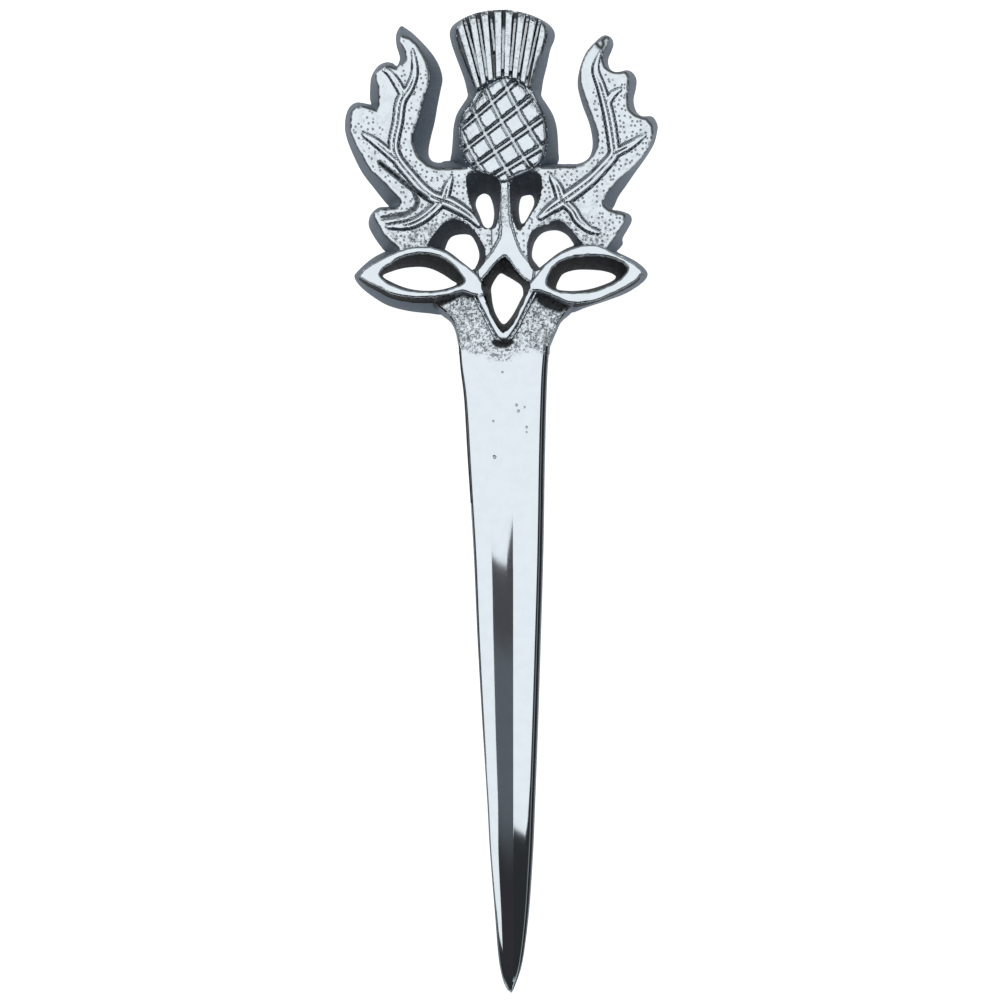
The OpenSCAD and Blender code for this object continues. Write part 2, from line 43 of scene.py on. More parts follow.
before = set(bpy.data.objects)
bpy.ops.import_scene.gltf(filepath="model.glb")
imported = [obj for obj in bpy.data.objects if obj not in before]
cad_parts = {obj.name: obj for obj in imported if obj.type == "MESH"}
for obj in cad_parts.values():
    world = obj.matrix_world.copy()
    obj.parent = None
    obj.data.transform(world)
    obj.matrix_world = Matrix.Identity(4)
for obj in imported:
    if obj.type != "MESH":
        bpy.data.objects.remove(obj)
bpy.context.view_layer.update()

# Squares across the leaves and down the head
SQUARES_W = 313
SQUARES_L = 335
# How many points are worked on at a time, and a distance beyond all others
CHUNK = 8000
FAR = 1e9

# The eye above the pin: its height over the casting's back and its place right of the middle
EYE_H = 0.163
EYE_X = 0.00515

# Outlines of the leaves with the web below them: back u, back v, front u, front v
LEFT_PLATE = [
    (-50, 150, -34, 157), (-60, 152, -53, 158), (-67, 151, -63, 158), (-71, 147, -73, 154),
    (-72, 140, -83, 145), (-70, 128, -87, 135), (-66, 112, -88, 123), (-63, 95, -82, 105),
    (-60, 80, -77, 87), (-58, 68, -72, 72), (-61, 56, -72, 60), (-67, 45, -76, 47),
    (-76, 34, -82, 37), (-87, 23, -89, 29), (-95, 17, -95, 26), (-100, 15, -100, 26),
    (-104, 21, -101, 30), (-105, 28, -99, 33), (-104, 36, -96, 39), (-101, 47, -94, 49),
    (-104, 55, -100, 54), (-108, 52, -105, 57), (-115, 51, -114, 55), (-122, 54, -120, 58),
    (-127, 60, -125, 63), (-130, 67, -124, 70), (-131, 78, -122, 78), (-131, 88, -122, 92),
    (-130, 93, -124, 99), (-136, 92, -130, 97), (-144, 91, -138, 95), (-150, 94, -144, 96),
    (-154, 100, -149, 100), (-156, 109, -150, 108), (-156, 120, -150, 121), (-152, 134, -145, 133),
    (-145, 150, -137, 147), (-138, 163, -130, 159), (-128, 176, -121, 167), (-117, 190, -108, 180),
    (-112, 196, -100, 190), (-117, 196, -103, 197), (-123, 197, -115, 198), (-129, 202, -124, 201),
    (-132, 208, -127, 204), (-132, 216, -124, 210), (-127, 226, -118, 221), (-120, 236, -110, 230),
    (-114, 242, -102, 237), (-92, 256, -92, 254), (-30, 272, -30, 272), (4, 262, 4, 262),
    (4, 150, 4, 150)]
RIGHT_PLATE = [
    (58, 154, 42, 157), (67, 154, 61, 157), (77, 154, 75, 157), (85, 151, 86, 153),
    (90, 145, 94, 145), (92, 135, 98, 134), (91, 124, 97, 121), (88, 112, 92, 107),
    (83, 99, 87, 93), (79, 86, 82, 78), (77, 75, 80, 66), (78, 64, 82, 54),
    (81, 53, 86, 45), (86, 42, 91, 38), (94, 33, 96, 34), (101, 27, 101, 31),
    (106, 26, 105, 28), (111, 29, 108, 29), (113, 35, 107, 34), (111, 42, 104, 39),
    (108, 49, 102, 47), (108, 56, 103, 55), (111, 61, 106, 59), (117, 63, 113, 63),
    (125, 61, 121, 63), (130, 62, 126, 64), (134, 66, 128, 69), (136, 72, 128, 75),
    (135, 81, 127, 84), (133, 90, 127, 93), (134, 98, 128, 99), (137, 104, 132, 104),
    (142, 107, 139, 108), (150, 107, 146, 110), (154, 110, 150, 115), (157, 117, 152, 122),
    (156, 125, 151, 129), (154, 133, 149, 135), (150, 141, 144, 144), (142, 153, 136, 153),
    (134, 164, 127, 162), (125, 177, 116, 171), (118, 187, 107, 182), (114, 196, 103, 191),
    (112, 200, 105, 198), (118, 201, 113, 202), (125, 203, 120, 204), (130, 206, 124, 206),
    (131, 212, 123, 212), (127, 220, 118, 221), (122, 229, 112, 230), (120, 238, 106, 238),
    (95, 256, 95, 256), (36, 274, 36, 274), (-4, 262, -4, 262), (-4, 150, -4, 150)]
# Hollows beside the left leaf's veins: u, v, share of the full depth
HOLLOWS = [
    [(-121, 152, 1), (-106, 164, 1), (-92, 176, 1), (-74, 187, 1)],
    [(-86, 183, 0.7), (-83, 191, 0.8), (-86, 198, 0.8), (-96, 204, 0.7), (-108, 206, 0.6), (-119, 208, 0.4)]]
# Curl of painted shade behind the bead on the right leaf's tip: u, v
CURL = [(95, 33), (98, 37), (101, 39), (103, 35), (102, 31), (105, 28)]
# Veins of each leaf: u, v, width share
LEFT_VEINS = [
    [(-88, 40, 0.3), (-86, 60, 0.6), (-91, 76, 0.8), (-100, 90, 1), (-103, 110, 1), (-107, 140, 1),
     (-90, 165, 1), (-70, 185, 1.1), (-50, 193, 1.2), (-32, 204, 0.9), (-22, 214, 0.5)],
    [(-97, 84, 0.7), (-105, 70, 0.7), (-112, 61, 0.5), (-117, 59, 0.3)],
    [(-105, 148, 0.8), (-125, 131, 0.7), (-138, 123, 0.3)],
    [(-60, 192, 0.9), (-76, 206, 0.9), (-92, 214, 0.8), (-114, 216, 0.3)],
    [(-57, 190, 0.9), (-53, 176, 0.7), (-49, 167, 0.3)]]
RIGHT_VEINS = [
    [(99, 44, 0.3), (95, 60, 0.6), (101, 79, 0.8), (108, 105, 1), (113, 135, 1), (113, 145, 1),
     (104, 156, 1), (88, 172, 1.1), (62, 191, 1.2), (50, 199, 0.9), (40, 207, 0.5)],
    [(107, 92, 0.7), (113, 84, 0.6), (120, 80, 0.3)],
    [(114, 144, 0.8), (129, 136, 0.7), (144, 126, 0.3)],
    [(62, 191, 0.9), (72, 200, 0.8), (78, 210, 0.8), (88, 219, 0.6), (98, 223, 0.3)],
    [(61, 190, 0.9), (57, 177, 0.8), (50, 166, 0.3)]]
# Thistle's bulb and brush, across: v, left and right at the back, left and right rim
BULB = [
    (67, -12, 20, 0, 9), (69.5, -20, 28, -8, 17), (73, -28, 36, -15, 24), (78, -33, 41, -22, 30),
    (86, -33, 41, -26, 34), (94, -38, 46, -31, 38), (104, -44, 52, -38, 43), (116, -47, 56, -41, 46),
    (130, -48, 57.5, -41, 47), (142, -49, 58, -39, 45), (152, -50, 58, -34, 41), (160, -42, 50, -26, 33),
    (166, -26, 34, -14, 20), (171, -10, 18, -3, 9)]
BRUSH = [
    (0, -8, 8, -6, 8), (1, -17, 16, -15, 14), (4, -29, 28, -27, 24), (9, -40, 40, -37, 36),
    (15, -48, 49, -43, 44), (22, -51, 54, -44, 46), (30, -50, 54, -43, 45), (40, -47, 50, -40, 42),
    (56, -41, 46.5, -34, 36), (70, -36, 43, -28, 32), (83, -33, 41, -22, 30)]
# The loops and the holes in them, in the outlines' columns
LEFT_LOOP = [
    (-146.5, 267, -142, 265), (-144, 261, -136, 258), (-128, 247, -125, 251), (-108, 238, -107, 242),
    (-89, 235, -89, 236.5), (-70, 235, -70, 236.5), (-54, 240, -54, 242), (-38, 252, -38, 253),
    (-25, 263, -25, 263), (-14, 278, -19, 271), (-12, 292, -16, 284), (-20, 294, -27, 285),
    (-35, 294, -38, 281.5), (-55, 304, -54, 286), (-72, 303, -70, 287.5), (-93, 300.5, -89, 287.5),
    (-113, 295, -107, 284.5), (-129, 285.5, -123, 277), (-141, 275.5, -139, 269)]
LEFT_LOOP_HOLE = [
    (-118, 265.5, -121.5, 263), (-109, 261, -111, 254), (-96, 257.5, -99, 247), (-80, 256.5, -82, 243.5),
    (-68, 259, -68, 244.5), (-57, 264.5, -54, 250), (-49, 270, -44, 259), (-44, 274, -36.5, 271),
    (-54, 278, -48, 277), (-66, 280, -62, 280.5), (-80, 280, -78, 281), (-94, 277.5, -95, 279),
    (-108, 272, -111, 273)]
RIGHT_LOOP = [
    (147, 265, 142, 262), (143, 258, 132, 253), (134, 251, 113, 243), (120, 244, 97, 235.5),
    (97, 233, 81, 235.5), (76, 235, 60, 243), (58, 243, 44, 255), (40, 257, 32, 270),
    (18, 274, 23, 281), (22, 292, 33, 281), (42, 292, 47, 284), (55, 302, 57, 289),
    (71, 303, 73, 294), (85, 298, 95, 291.5), (105, 291.5, 115, 283), (126, 283.5, 133, 273),
    (142, 273, 139, 267)]
RIGHT_LOOP_HOLE = [
    (56, 278.5, 48, 276.5), (58, 271, 47, 268), (63, 264, 54, 256), (74, 260.5, 66, 249.5),
    (86, 260, 82, 246.5), (100, 261, 99, 246.5), (110, 263.5, 115, 250), (115, 267, 127, 258),
    (112, 271, 120, 269), (103, 275, 107, 276.5), (90, 279, 91, 281.5), (75, 281, 77, 282.5),
    (62, 280.5, 60, 281.5)]
# The other pierced holes
LEFT_DROP = [
    (-16, 183.5, -15, 163), (-11, 186, -3, 168), (-8, 193, 0, 174), (-6.5, 202, 0, 190),
    (-7, 210, -1, 202), (-9, 216, -3, 213), (-13, 218, -6, 218.5), (-17, 215, -17, 218),
    (-21, 205, -24, 208), (-24.5, 196, -31, 192), (-24, 190, -34, 177), (-21, 185.5, -33, 163)]
RIGHT_DROP = [
    (21, 187.5, 11, 171), (26, 185.5, 20, 165), (31, 185.5, 34, 161), (33.5, 190, 40.5, 166),
    (33, 196, 42, 178), (29, 204, 38, 193), (25, 211, 30, 206), (22, 213.5, 22, 218),
    (20, 211, 17, 219), (18.6, 202, 12, 209), (19, 194, 9, 188)]
LEFT_EYE = [
    (-56, 241, -73, 234), (-52, 230, -67, 223), (-45, 225, -58, 213), (-32, 224.5, -48, 208.5),
    (-26, 230, -37, 211), (-22, 240, -28, 218), (-21.5, 248, -20, 229), (-24, 255, -15, 241),
    (-28, 260, -16, 253), (-36, 258, -28, 262), (-48, 250, -54, 254), (-56, 246, -70, 244)]
RIGHT_EYE = [
    (32, 248, 27, 248), (32, 240, 27, 236), (35, 231, 29, 225), (41, 224, 35, 218),
    (49, 221, 45, 215), (58, 221, 53, 211), (66, 225, 61, 211), (71, 231, 69, 218),
    (73, 236, 78, 228), (68, 243, 82, 238), (52, 253, 62, 252), (41, 258, 41, 260),
    (36, 254, 32, 260)]
LEFT_HOLES, RIGHT_HOLES = [LEFT_DROP, LEFT_EYE], [RIGHT_DROP, RIGHT_EYE]
CENTRE_HOLE = [
    (0, 263.5, 3.5, 246.5), (6, 266, 13, 257), (13, 270, 22, 267), (21, 276, 30, 275),
    (22.6, 284, 26, 287), (20, 290, 19, 302), (12, 305, 11, 317), (3.5, 314, 2.5, 322),
    (-3, 307, -4, 316), (-7, 297, -11, 303), (-9, 284, -17, 285), (-9, 277, -19.5, 273),
    (-5, 269, -12, 262)]
# Ground of the forked stem, and the rough ground of the neck
STEM = [
    (-8, 168, 0, 170), (-7, 190, -1, 195), (-6, 210, -0.5, 214), (-8, 228, -1, 226),
    (-14, 240, -6, 236), (-22, 252, -13, 247), (-32, 264, -24, 259), (-28, 276, -20, 270),
    (-12, 268, -14, 264), (-4, 258, -4, 254), (3.5, 252, 3.5, 246.5), (12, 258, 12, 256),
    (24, 272, 22, 267), (32, 280, 30, 275), (38, 270, 34, 259), (30, 254, 24, 246),
    (24, 242, 18, 235), (20, 228, 14, 223), (16, 210, 10.5, 212), (14, 190, 9, 190),
    (14, 168, 8, 170)]
NECK = [
    (-72, 290, -66, 288), (-60, 304, -52, 303), (-50, 312, -46, 313), (-45, 322, -42, 323),
    (-42, 336, -40, 337), (-37, 350, -35, 350), (3, 352, 3, 352), (44, 350, 42, 350),
    (50, 336, 47, 337), (56, 322, 53, 323), (61, 312, 57, 312), (71, 303, 64, 302),
    (80, 290, 74, 288), (40, 276, 40, 276), (24, 284, 24, 284), (12, 298, 12, 298),
    (2, 304, 2, 304), (-1, 296, -1, 296), (-4, 284, -4, 284), (-8, 268, -8, 268), (-34, 278, -34, 278)]
# Middle line of the V band: u, v, width share
VEE = [
    (-26, 275, 1), (-21, 289, 1), (-14, 303, 0.9), (-7, 317, 0.9), (-1, 326, 1.1), (4, 327.5, 1.2),
    (8, 324, 1.1), (15, 314, 0.9), (22, 300, 0.9), (29, 286, 1), (35, 275, 1)]
# The blade: share of its length, left and right of its ridge line as shares of blade_w,
# ridge and edge heights as shares of blade_t and edge_t
BLADE = [
    (-0.03, 0.548, 0.452, 0.7, 0.9), (0.031, 0.521, 0.415, 0.95, 1), (0.085, 0.479, 0.399, 1, 1),
    (0.178, 0.441, 0.383, 1, 1), (0.318, 0.378, 0.367, 0.97, 0.98), (0.457, 0.335, 0.340, 0.93, 0.96),
    (0.597, 0.280, 0.309, 0.87, 0.93), (0.705, 0.234, 0.281, 0.82, 0.9), (0.783, 0.205, 0.259, 0.77, 0.87),
    (0.876, 0.153, 0.216, 0.68, 0.79), (0.953, 0.109, 0.149, 0.57, 0.68), (0.989, 0.051, 0.077, 0.45, 0.53),
    (1, -0.02, 0.034, 0.35, 0.4)]

# The net of diamonds on the bulb. Two counts of its ribs, steep and shallow, are each these shares of
# 1, x, y, xx, xy and yy, where x and y are NET_UNIT squares from NET_AT.
NET_AT = (0, 110)
NET_UNIT = 40
NET_STEEP = (-0.02, 1.74, -0.94, -0.01, -0.13, -0.03)
NET_SHALLOW = (-0.07, 1.17, 1.51, -0.11, -0.12, 0.05)
# Squares between neighbouring steep ribs, and between neighbouring shallow ones
NET_GAPS = (20.4, 21.2)

# How softly the ribs end at the bulb
BRUSH_END = 0.25
# Ribs of the brush: u at the top, u at the bottom, v at the top, v at the bottom, half width
RIBS = [
    (-41.5, -24, 11, 72, 4.0), (-28.5, -17, 6, 72, 4.1), (-16, -10, 4, 68, 4.1), (-2.5, -2, 3, 64, 4.3),
    (8.5, 6, 3, 64, 4.1), (21, 14, 5, 68, 4.1), (33, 22, 7, 72, 4.1), (44.5, 31, 11, 74, 3.9)]
# Thin ribs in the gaps between them, in the same columns
THIN_RIBS = [
    (-35.2, -20.5, 12, 66, 1.8), (-22.3, -13.5, 9, 66, 1.8), (-9.4, -6, 9, 40, 1.8), (3, 2, 16, 58, 1.7),
    (14.8, 10, 9, 60, 1.8), (27, 18, 9, 62, 1.8), (39, 26.5, 12, 66, 1.6)]

# Depth of the crease along a main vein, of the groove beside a vein, and of a hollow, in metres
CREASE_DEEP, GROOVE_DEEP, HOLLOW_DEEP = 0.0001, 0.0001, 0.0003

# Spacing of each form's grid across and down, in squares
LEAF_GRID = (0.9, 0.9)
BULB_GRID = (0.75, 0.75)
BRUSH_GRID = (0.5, 1.8)
LOOP_GRID = (0.8, 0.8)
PLAIN_GRID = (1, 1)
# Share by which each row of the brush's grid is narrower than the one a square above it
BRUSH_FAN = 0.0058
# How far the solids that cut or clip others reach past the back, and past a front face, and a hole's past it
PAST_BACK = -0.001
PAST_FRONT = 0.0015
HOLE_PAST_FRONT = 0.002
# Squares of margin round a form's outline in its carved block, and how many more for a grid that fans
BLOCK_MARGIN = 4
FAN_MARGIN = 6000
# How far the worn front edges wander, in squares, and the share of a quarter circle that polishing took
EDGE_WEAR = 0.5
EASED_SHARE = 0.9
# Waves that make the casting's unevenness: turns across, turns down, start; and what their mean is raised by
GRAIN_WAVES = [
    (1.0, 0.31, 0.4), (-0.52, 0.93, 2.1), (0.77, -1.13, 4.0), (1.61, 0.87, 1.3), (-1.27, 1.49, 5.2),
    (0.23, 1.91, 3.3)]
GRAIN_GAIN = 1.6
# Where a plain side wall bends: share of its height and share of its draft
PLAIN_WALLS = ((0, 0), (0.3, 0.28), (0.6, 0.56), (0.88, 0.83), (1, 1))
# Where a loop's side wall bends
LOOP_WALLS = ((0, 0), (0.5, 0.62), (0.53, 0.70), (0.9, 0.93), (1, 1))
# Section of the V band: half widths across, share of its height; a thin line lies beside its outer side
VEE_SECTION = np.array([
    (-1.25, 0), (1.15, 0), (1.1, 0.8), (1.0, 0.93), (0.8, 0.99), (0.35, 1), (-0.05, 0.99), (-0.2, 0.96),
    (-0.3, 0.88), (-0.4, 0.79), (-0.6, 0.79), (-0.7, 0.88), (-0.95, 0.88), (-1.1, 0.78)])
# How far below a form's thickness its face still carries marks, in metres
FACE_DEPTH = 0.0005
# Small pits in the blade below the neck: u, v and radius
PITS = [(2, 362, 0.00010), (-6, 447, 0.00016), (16, 395, 0.00012), (24, 397, 0.00010), (18, 401, 0.00013),
        (-7, 411, 0.00010), (26, 417, 0.00012), (26, 422, 0.00009)]
# Painted shadows below the V band's point, and on the neck under the loops: u, v and radius
SHADOWS = [
    (-6, 331.5, 0.0003), (-3, 333, 0.0004), (0.5, 333.5, 0.00045), (4, 333.5, 0.00045), (7.5, 332.5, 0.0004),
    (10, 331, 0.0003), (-64, 291.5, 0.0005), (-60, 290, 0.0005), (-56, 288.5, 0.00045), (-52, 287.5, 0.0004),
    (-48, 286.5, 0.0003), (40, 289, 0.0004), (43, 290.5, 0.0005), (47, 292, 0.0006), (51, 293.5, 0.0006),
    (55, 295, 0.0006), (59, 297, 0.0005)]
# Ridge line of the blade, in squares right of the middle
BLADE_U = 8.5
# The ridge's place right of that line, the canted strip below an edge, and the edge's easing, in metres
RIDGE_X, EDGE_CANT, EDGE_EASE = 0.0002, 0.0002, 0.00045
# Where each facet of the blade has its points: shares of the way from the ridge to the edge
RIGHT_FACET = (1, 0.85, 0.65, 0.35, 0.12, 0.02, 0)
LEFT_FACET = np.linspace(0, 1, 13)[1:]

# The stage, in metres. Half the floor's side
FLOOR_REACH = 0.6
# Dark card beside the eye, which the blade's dark strip reflects: its height and its outline
CARD_HEIGHT = 0.40
CARD = [(-0.16, -0.30), (0.05, -0.30), (0.05, -0.031), (0.002, -0.031), (-0.007, -0.0135),
        (-0.02, -0.031), (-0.16, -0.031)]
# Soft lights: name, place, width, depth and watts
PANELS = [
    ("overhead", (0.0, 0.155, 0.42), 0.70, 0.60, 1.22),
    ("low_left", (-0.305, -0.19, 0.42), 0.29, 0.09, 0.0755)]
# The surroundings: up to which height they are brightest, where they are dimmest, and both strengths
WALLS_FADE = (0.25, 0.6, 0.5, 0.03)
# The camera's focal length in millimetres, and the spot it faces, right of the middle
LENS = 58.68
AIM_X = -0.00005


class KiltPinSizes(bpy.types.PropertyGroup):
    """Sizes of the casting, and of the marks that its finish carries."""

    def length(name, description, default):
        """A size in metres, shown in the panel."""
        return bpy.props.FloatProperty(
            name=name, description=description, default=default, min=0.0, unit="LENGTH", precision=5
        )

    pin_l: length("Pin length", "Thistle's top to the blade's point", 0.098)
    head_w: length("Head width", "Width across the leaves", 0.0313)
    head_l: length("Head length", "Thistle's top down to the blade", 0.0335)
    back_gap: length("Back gap", "Height of the casting's flat back", 0.0042)
    leaf_t: length("Leaf thickness", "Thickness of the leaves", 0.0022)
    vein_h: length("Vein height", "Height of a vein above its leaf", 0.00035)
    vein_w: length("Vein width", "Width of a leaf's main vein", 0.00095)
    bulb_t: length("Bulb rim", "Thickness of the bulb at its rim", 0.0024)
    bulb_dome: length("Bulb dome", "Rise of the bulb's middle above its rim", 0.0007)
    net_h: length("Net height", "Height of the diamond pads and the net", 0.0003)
    brush_t: length("Brush thickness", "Thickness of the brush between its ribs", 0.0025)
    brush_dome: length("Brush dome", "Rise of the brush's middle above its sides", 0.0004)
    rib_h: length("Rib height", "Height of a rib of the brush", 0.0004)
    loop_t: length("Loop thickness", "Thickness of the two loops", 0.0029)
    stem_t: length("Stem thickness", "Thickness of the forked stem", 0.0028)
    vee_t: length("V band thickness", "Thickness of the V band", 0.0029)
    vee_w: length("V band width", "Width of the V band's bright face", 0.0009)
    neck_t: length("Neck thickness", "Thickness of the rough ground below the loops", 0.0019)
    blade_w: length("Blade width", "Width of the blade at the neck", 0.0094)
    blade_t: length("Blade ridge", "Height of the blade's ridge at the neck", 0.0028)
    edge_t: length("Blade edge", "Height of the blade's edges at the neck", 0.0022)
    ridge_w: length("Ridge width", "Width of the soft flat along the ridge", 0.0006)
    eased: length("Eased edge", "Radius that polishing left on the front edges", 0.0002)
    dot_gap: length("Stipple spacing", "Distance between the dots on the leaves", 0.00053)


class KiltPinFinish(bpy.types.PropertyGroup):
    """Colours of the plating, the steel and the floor."""

    def colour(name, description, default):
        """A colour, shown in the panel."""
        return bpy.props.FloatVectorProperty(
            name=name, description=description, default=default, min=0.0, max=1.0, size=3, subtype="COLOR"
        )

    plating: colour("Plating", "Bright polished plating", (0.80, 0.88, 0.93))
    wall: colour("Side walls", "Unpolished side walls", (0.118, 0.15, 0.19))
    # Colour of the painted shade on the walls inside the holes
    pierced: colour("Pierced walls", "Darkened walls inside the holes", (0.027, 0.029, 0.033))
    # Colour of the painted shade: down in the grooves, along edges, in the hollows and on the slopes under
    # the loops
    groove: colour("Grooves", "Darkened metal down in the grooves", (0.02, 0.02, 0.022))
    steel: colour("Steel", "Drawn steel of the back pin", (0.50, 0.51, 0.52))
    floor: colour("Floor", "Plain pale floor", (0.95, 0.95, 0.95))


def mix(a, b, t):
    """The value that lies t of the way from a to b."""
    return a + (b - a) * t


def step(low, high, x):
    """Rises smoothly from 0 at low to 1 at high, as three x squared less two x cubed."""
    t = np.clip((x - low) / (high - low), 0, 1)
    return t * t * (3 - 2 * t)


def bump(x, width):
    """A bell one high: e to the minus square of x over width."""
    return np.exp(-((x / width) ** 2))


def smooth(rows, n, closed=False):
    """Catmull-Rom curve through a table's rows, n points to a row, all columns at once."""
    p = np.array(rows, float)
    m = len(p)
    t = np.arange(n)[:, None, None] / n
    if closed:
        a, b, c, d = (np.roll(p, k, axis=0) for k in (1, 0, -1, -2))
    else:
        at = np.arange(m - 1)
        a, b, c, d = p[np.maximum(at - 1, 0)], p[at], p[at + 1], p[np.minimum(at + 2, m - 1)]
    curve = 0.5 * (
        2 * b + (c - a) * t + (2 * a - 5 * b + 4 * c - d) * t**2 + (3 * b - a - 3 * c + d) * t**3
    )
    points = curve.transpose(1, 0, 2).reshape(-1, p.shape[1])
    return points if closed else np.vstack([points, p[-1:]])


def nearest(u, v, path, closed=False):
    """Distance of every point to a path, and the path's further columns at the nearest spot.

    Each segment is a start plus a share of its step; the share is the point's projection on it, kept
    between 0 and 1.
    """
    path = np.array(path, float)
    a = path if closed else path[:-1]
    b = np.roll(path, -1, axis=0) if closed else path[1:]
    at = np.stack([u.ravel(), v.ravel()], 1)
    gap = np.empty(len(at))
    more = np.empty((len(at), path.shape[1] - 2))
    along = b[:, :2] - a[:, :2]
    square = np.maximum((along**2).sum(1), 1e-12)
    for i in range(0, len(at), CHUNK):
        off = at[i : i + CHUNK, None] - a[None, :, :2]
        t = np.clip((off * along).sum(2) / square, 0, 1)
        d = ((off - t[:, :, None] * along) ** 2).sum(2)
        k = d.argmin(1)
        row = np.arange(len(k))
        gap[i : i + CHUNK] = np.sqrt(d[row, k])
        more[i : i + CHUNK] = mix(a[k, 2:], b[k, 2:], t[row, k][:, None])
    return gap.reshape(u.shape), more.reshape(u.shape + (-1,))


def inside(u, v, ring):
    """True where a point lies in a ring: a ray to its right crosses the ring an odd number of times."""
    at = np.stack([u.ravel(), v.ravel()], 1)
    a, b = np.array(ring, float), np.roll(np.array(ring, float), -1, axis=0)
    rise = np.where(a[:, 1] == b[:, 1], 1e-12, b[:, 1] - a[:, 1])
    odd = np.empty(len(at), bool)
    for i in range(0, len(at), CHUNK):
        y = at[i : i + CHUNK, None, 1]
        over = (a[None, :, 1] > y) != (b[None, :, 1] > y)
        x = a[None, :, 0] + (y - a[None, :, 1]) / rise * (b[None, :, 0] - a[None, :, 0])
        odd[i : i + CHUNK] = ((over & (at[i : i + CHUNK, None, 0] < x)).sum(1) % 2) == 1
    return odd.reshape(u.shape)


def grain(x, y, size):
    """Fixed unevenness, seldom beyond -1 and 1, from the mean of crossed sine waves of about this size."""
    k = 2 * math.pi / size
    return sum(np.sin(k * (a * x + b * y) + c) for a, b, c in GRAIN_WAVES) / len(GRAIN_WAVES) * GRAIN_GAIN


def squares_to_back(s, u, v):
    """Plan of a point at the casting's back: squares times the size of one."""
    return np.stack([u * s.head_w / SQUARES_W, s.pin_l / 2 - v * s.head_l / SQUARES_L], -1)


def squares_to_front(s, u, v, z):
    """Plan of a point seen over square u, v and standing z above the back.

    It lies on the ray from the eye to the square, so it nears the eye's foot as it rises.
    """
    back = squares_to_back(s, u, v)
    eye = np.array([EYE_X, 0.0])
    return eye + (back - eye) * (1 - np.asarray(z)[..., None] / EYE_H)


def front_to_squares(s, points):
    """The square over which the eye sees each point, from its x, y and height above the back."""
    rise = (1 - points[:, 2] / EYE_H)[:, None]
    eye = np.array([EYE_X, 0.0])
    back = eye + (points[:, :2] - eye) / rise
    return back[:, 0] * SQUARES_W / s.head_w, (s.pin_l / 2 - back[:, 1]) * SQUARES_L / s.head_l


def new_solid(name, points, faces):
    """A closed mesh object from points and faces, with every face turned outwards."""
    mesh = bpy.data.meshes.new(name)
    mesh.from_pydata(np.asarray(points, float).tolist(), [], faces)
    bm = bmesh.new()
    bm.from_mesh(mesh)
    bmesh.ops.recalc_face_normals(bm, faces=bm.faces)
    bm.to_mesh(mesh)
    bm.free()
    obj = bpy.data.objects.new(name, mesh)
    bpy.context.collection.objects.link(obj)
    return obj


def loft(name, rings):
    """Solid through rings of equally many points: quads between neighbours, a cap at either end."""
    rings = np.asarray(rings, float)
    m, n = rings.shape[:2]
    at = np.arange((m - 1) * n).reshape(m - 1, n)
    right = np.roll(at, -1, axis=1)
    quads = np.stack([at, right, right + n, at + n], -1).reshape(-1, 4).tolist()
    caps = [list(range(n)), list(range((m - 1) * n, m * n))]
    return new_solid(name, rings.reshape(-1, 3), quads + caps)


def carved_block(name, s, box, gap, height, low=PAST_BACK, fan=0.0):
    """Block under a carved face: a grid over u and v whose top stands at height(u, v).

    gap holds the grid's spacing across and down, and each row down draws its columns in by the share
    fan. The floor is the same grid's rim at height low, and the sides run along the eye's rays.
    """
    u0, u1, v0, v1 = box
    us = np.linspace(u0, u1, round((u1 - u0) / gap[0]) + 1)
    vs = np.linspace(v0, v1, round((v1 - v0) / gap[1]) + 1)
    u, v = np.meshgrid(us, vs)
    u = u * (1 - fan * v)
    z = height(u, v)
    top = np.concatenate([squares_to_front(s, u, v, z), z[..., None]], -1)
    rows, cols = u.shape
    at = np.arange(rows * cols).reshape(rows, cols)
    quads = np.stack([at[:-1, :-1], at[:-1, 1:], at[1:, 1:], at[1:, :-1]], -1).reshape(-1, 4)
    rim = np.concatenate([at[0, :-1], at[:-1, -1], at[-1, :0:-1], at[:0:-1, 0]])
    ru, rv = u.ravel()[rim], v.ravel()[rim]
    floor = np.full(len(rim), low)
    foot = np.concatenate([squares_to_front(s, ru, rv, floor), floor[:, None]], -1)
    below = rows * cols + np.arange(len(rim))
    sides = np.stack([rim, np.roll(rim, -1), np.roll(below, -1), below], -1)
    points = np.vstack([top.reshape(-1, 3), foot])
    return new_solid(name, points, quads.tolist() + sides.tolist() + [below.tolist()])


def outline_rings(s, table, t, levels, n):
    """Rings of a drafted outline, one at each (height, share).

    The curve lies that share of the way from the back's outline to the front's, drawn at height t.
    """
    rows = drawn_rows(table, n)
    back = squares_to_back(s, rows[:, 0], rows[:, 1])
    rings = []
    for z, share in levels:
        front = squares_to_front(s, rows[:, 2], rows[:, 3], np.full(len(rows), max(z, t)))
        rings.append(np.column_stack([mix(back, front, share), np.full(len(rows), z)]))
    return rings


def outline_prism(name, s, table, t, walls, above=PAST_FRONT, n=4):
    """Drafted outline from the back up past the front, where it follows the eye's rays.

    walls holds the shares of t and of the draft at which the wall bends.
    """
    levels = [(t * h, share) for h, share in walls] + [(t + above, 1)]
    return loft(name, outline_rings(s, table, t, levels, n))


def hole_prism(name, s, table, t, n=4):
    """What a pierced hole removes: the same drafted outline, carried past both faces."""
    levels = [(PAST_BACK, 0), (0, 0), (t, 1), (t + HOLE_PAST_FRONT, 1)]
    return loft(name, outline_rings(s, table, t, levels, n))


def combine(obj, other, operation):
    """Joins, cuts or clips obj with other, which is used up."""
    mod = obj.modifiers.new("combine", "BOOLEAN")
    mod.operation, mod.solver, mod.object = operation, "MANIFOLD", other
    graph = bpy.context.evaluated_depsgraph_get()
    mesh = bpy.data.meshes.new_from_object(obj.evaluated_get(graph), depsgraph=graph)
    if len(mesh.polygons) < 4:
        raise RuntimeError(f"{obj.name} {operation} {other.name} left nothing")
    obj.modifiers.clear()
    old, obj.data = obj.data, mesh
    bpy.data.meshes.remove(old)
    bpy.data.meshes.remove(other.data)
    return obj


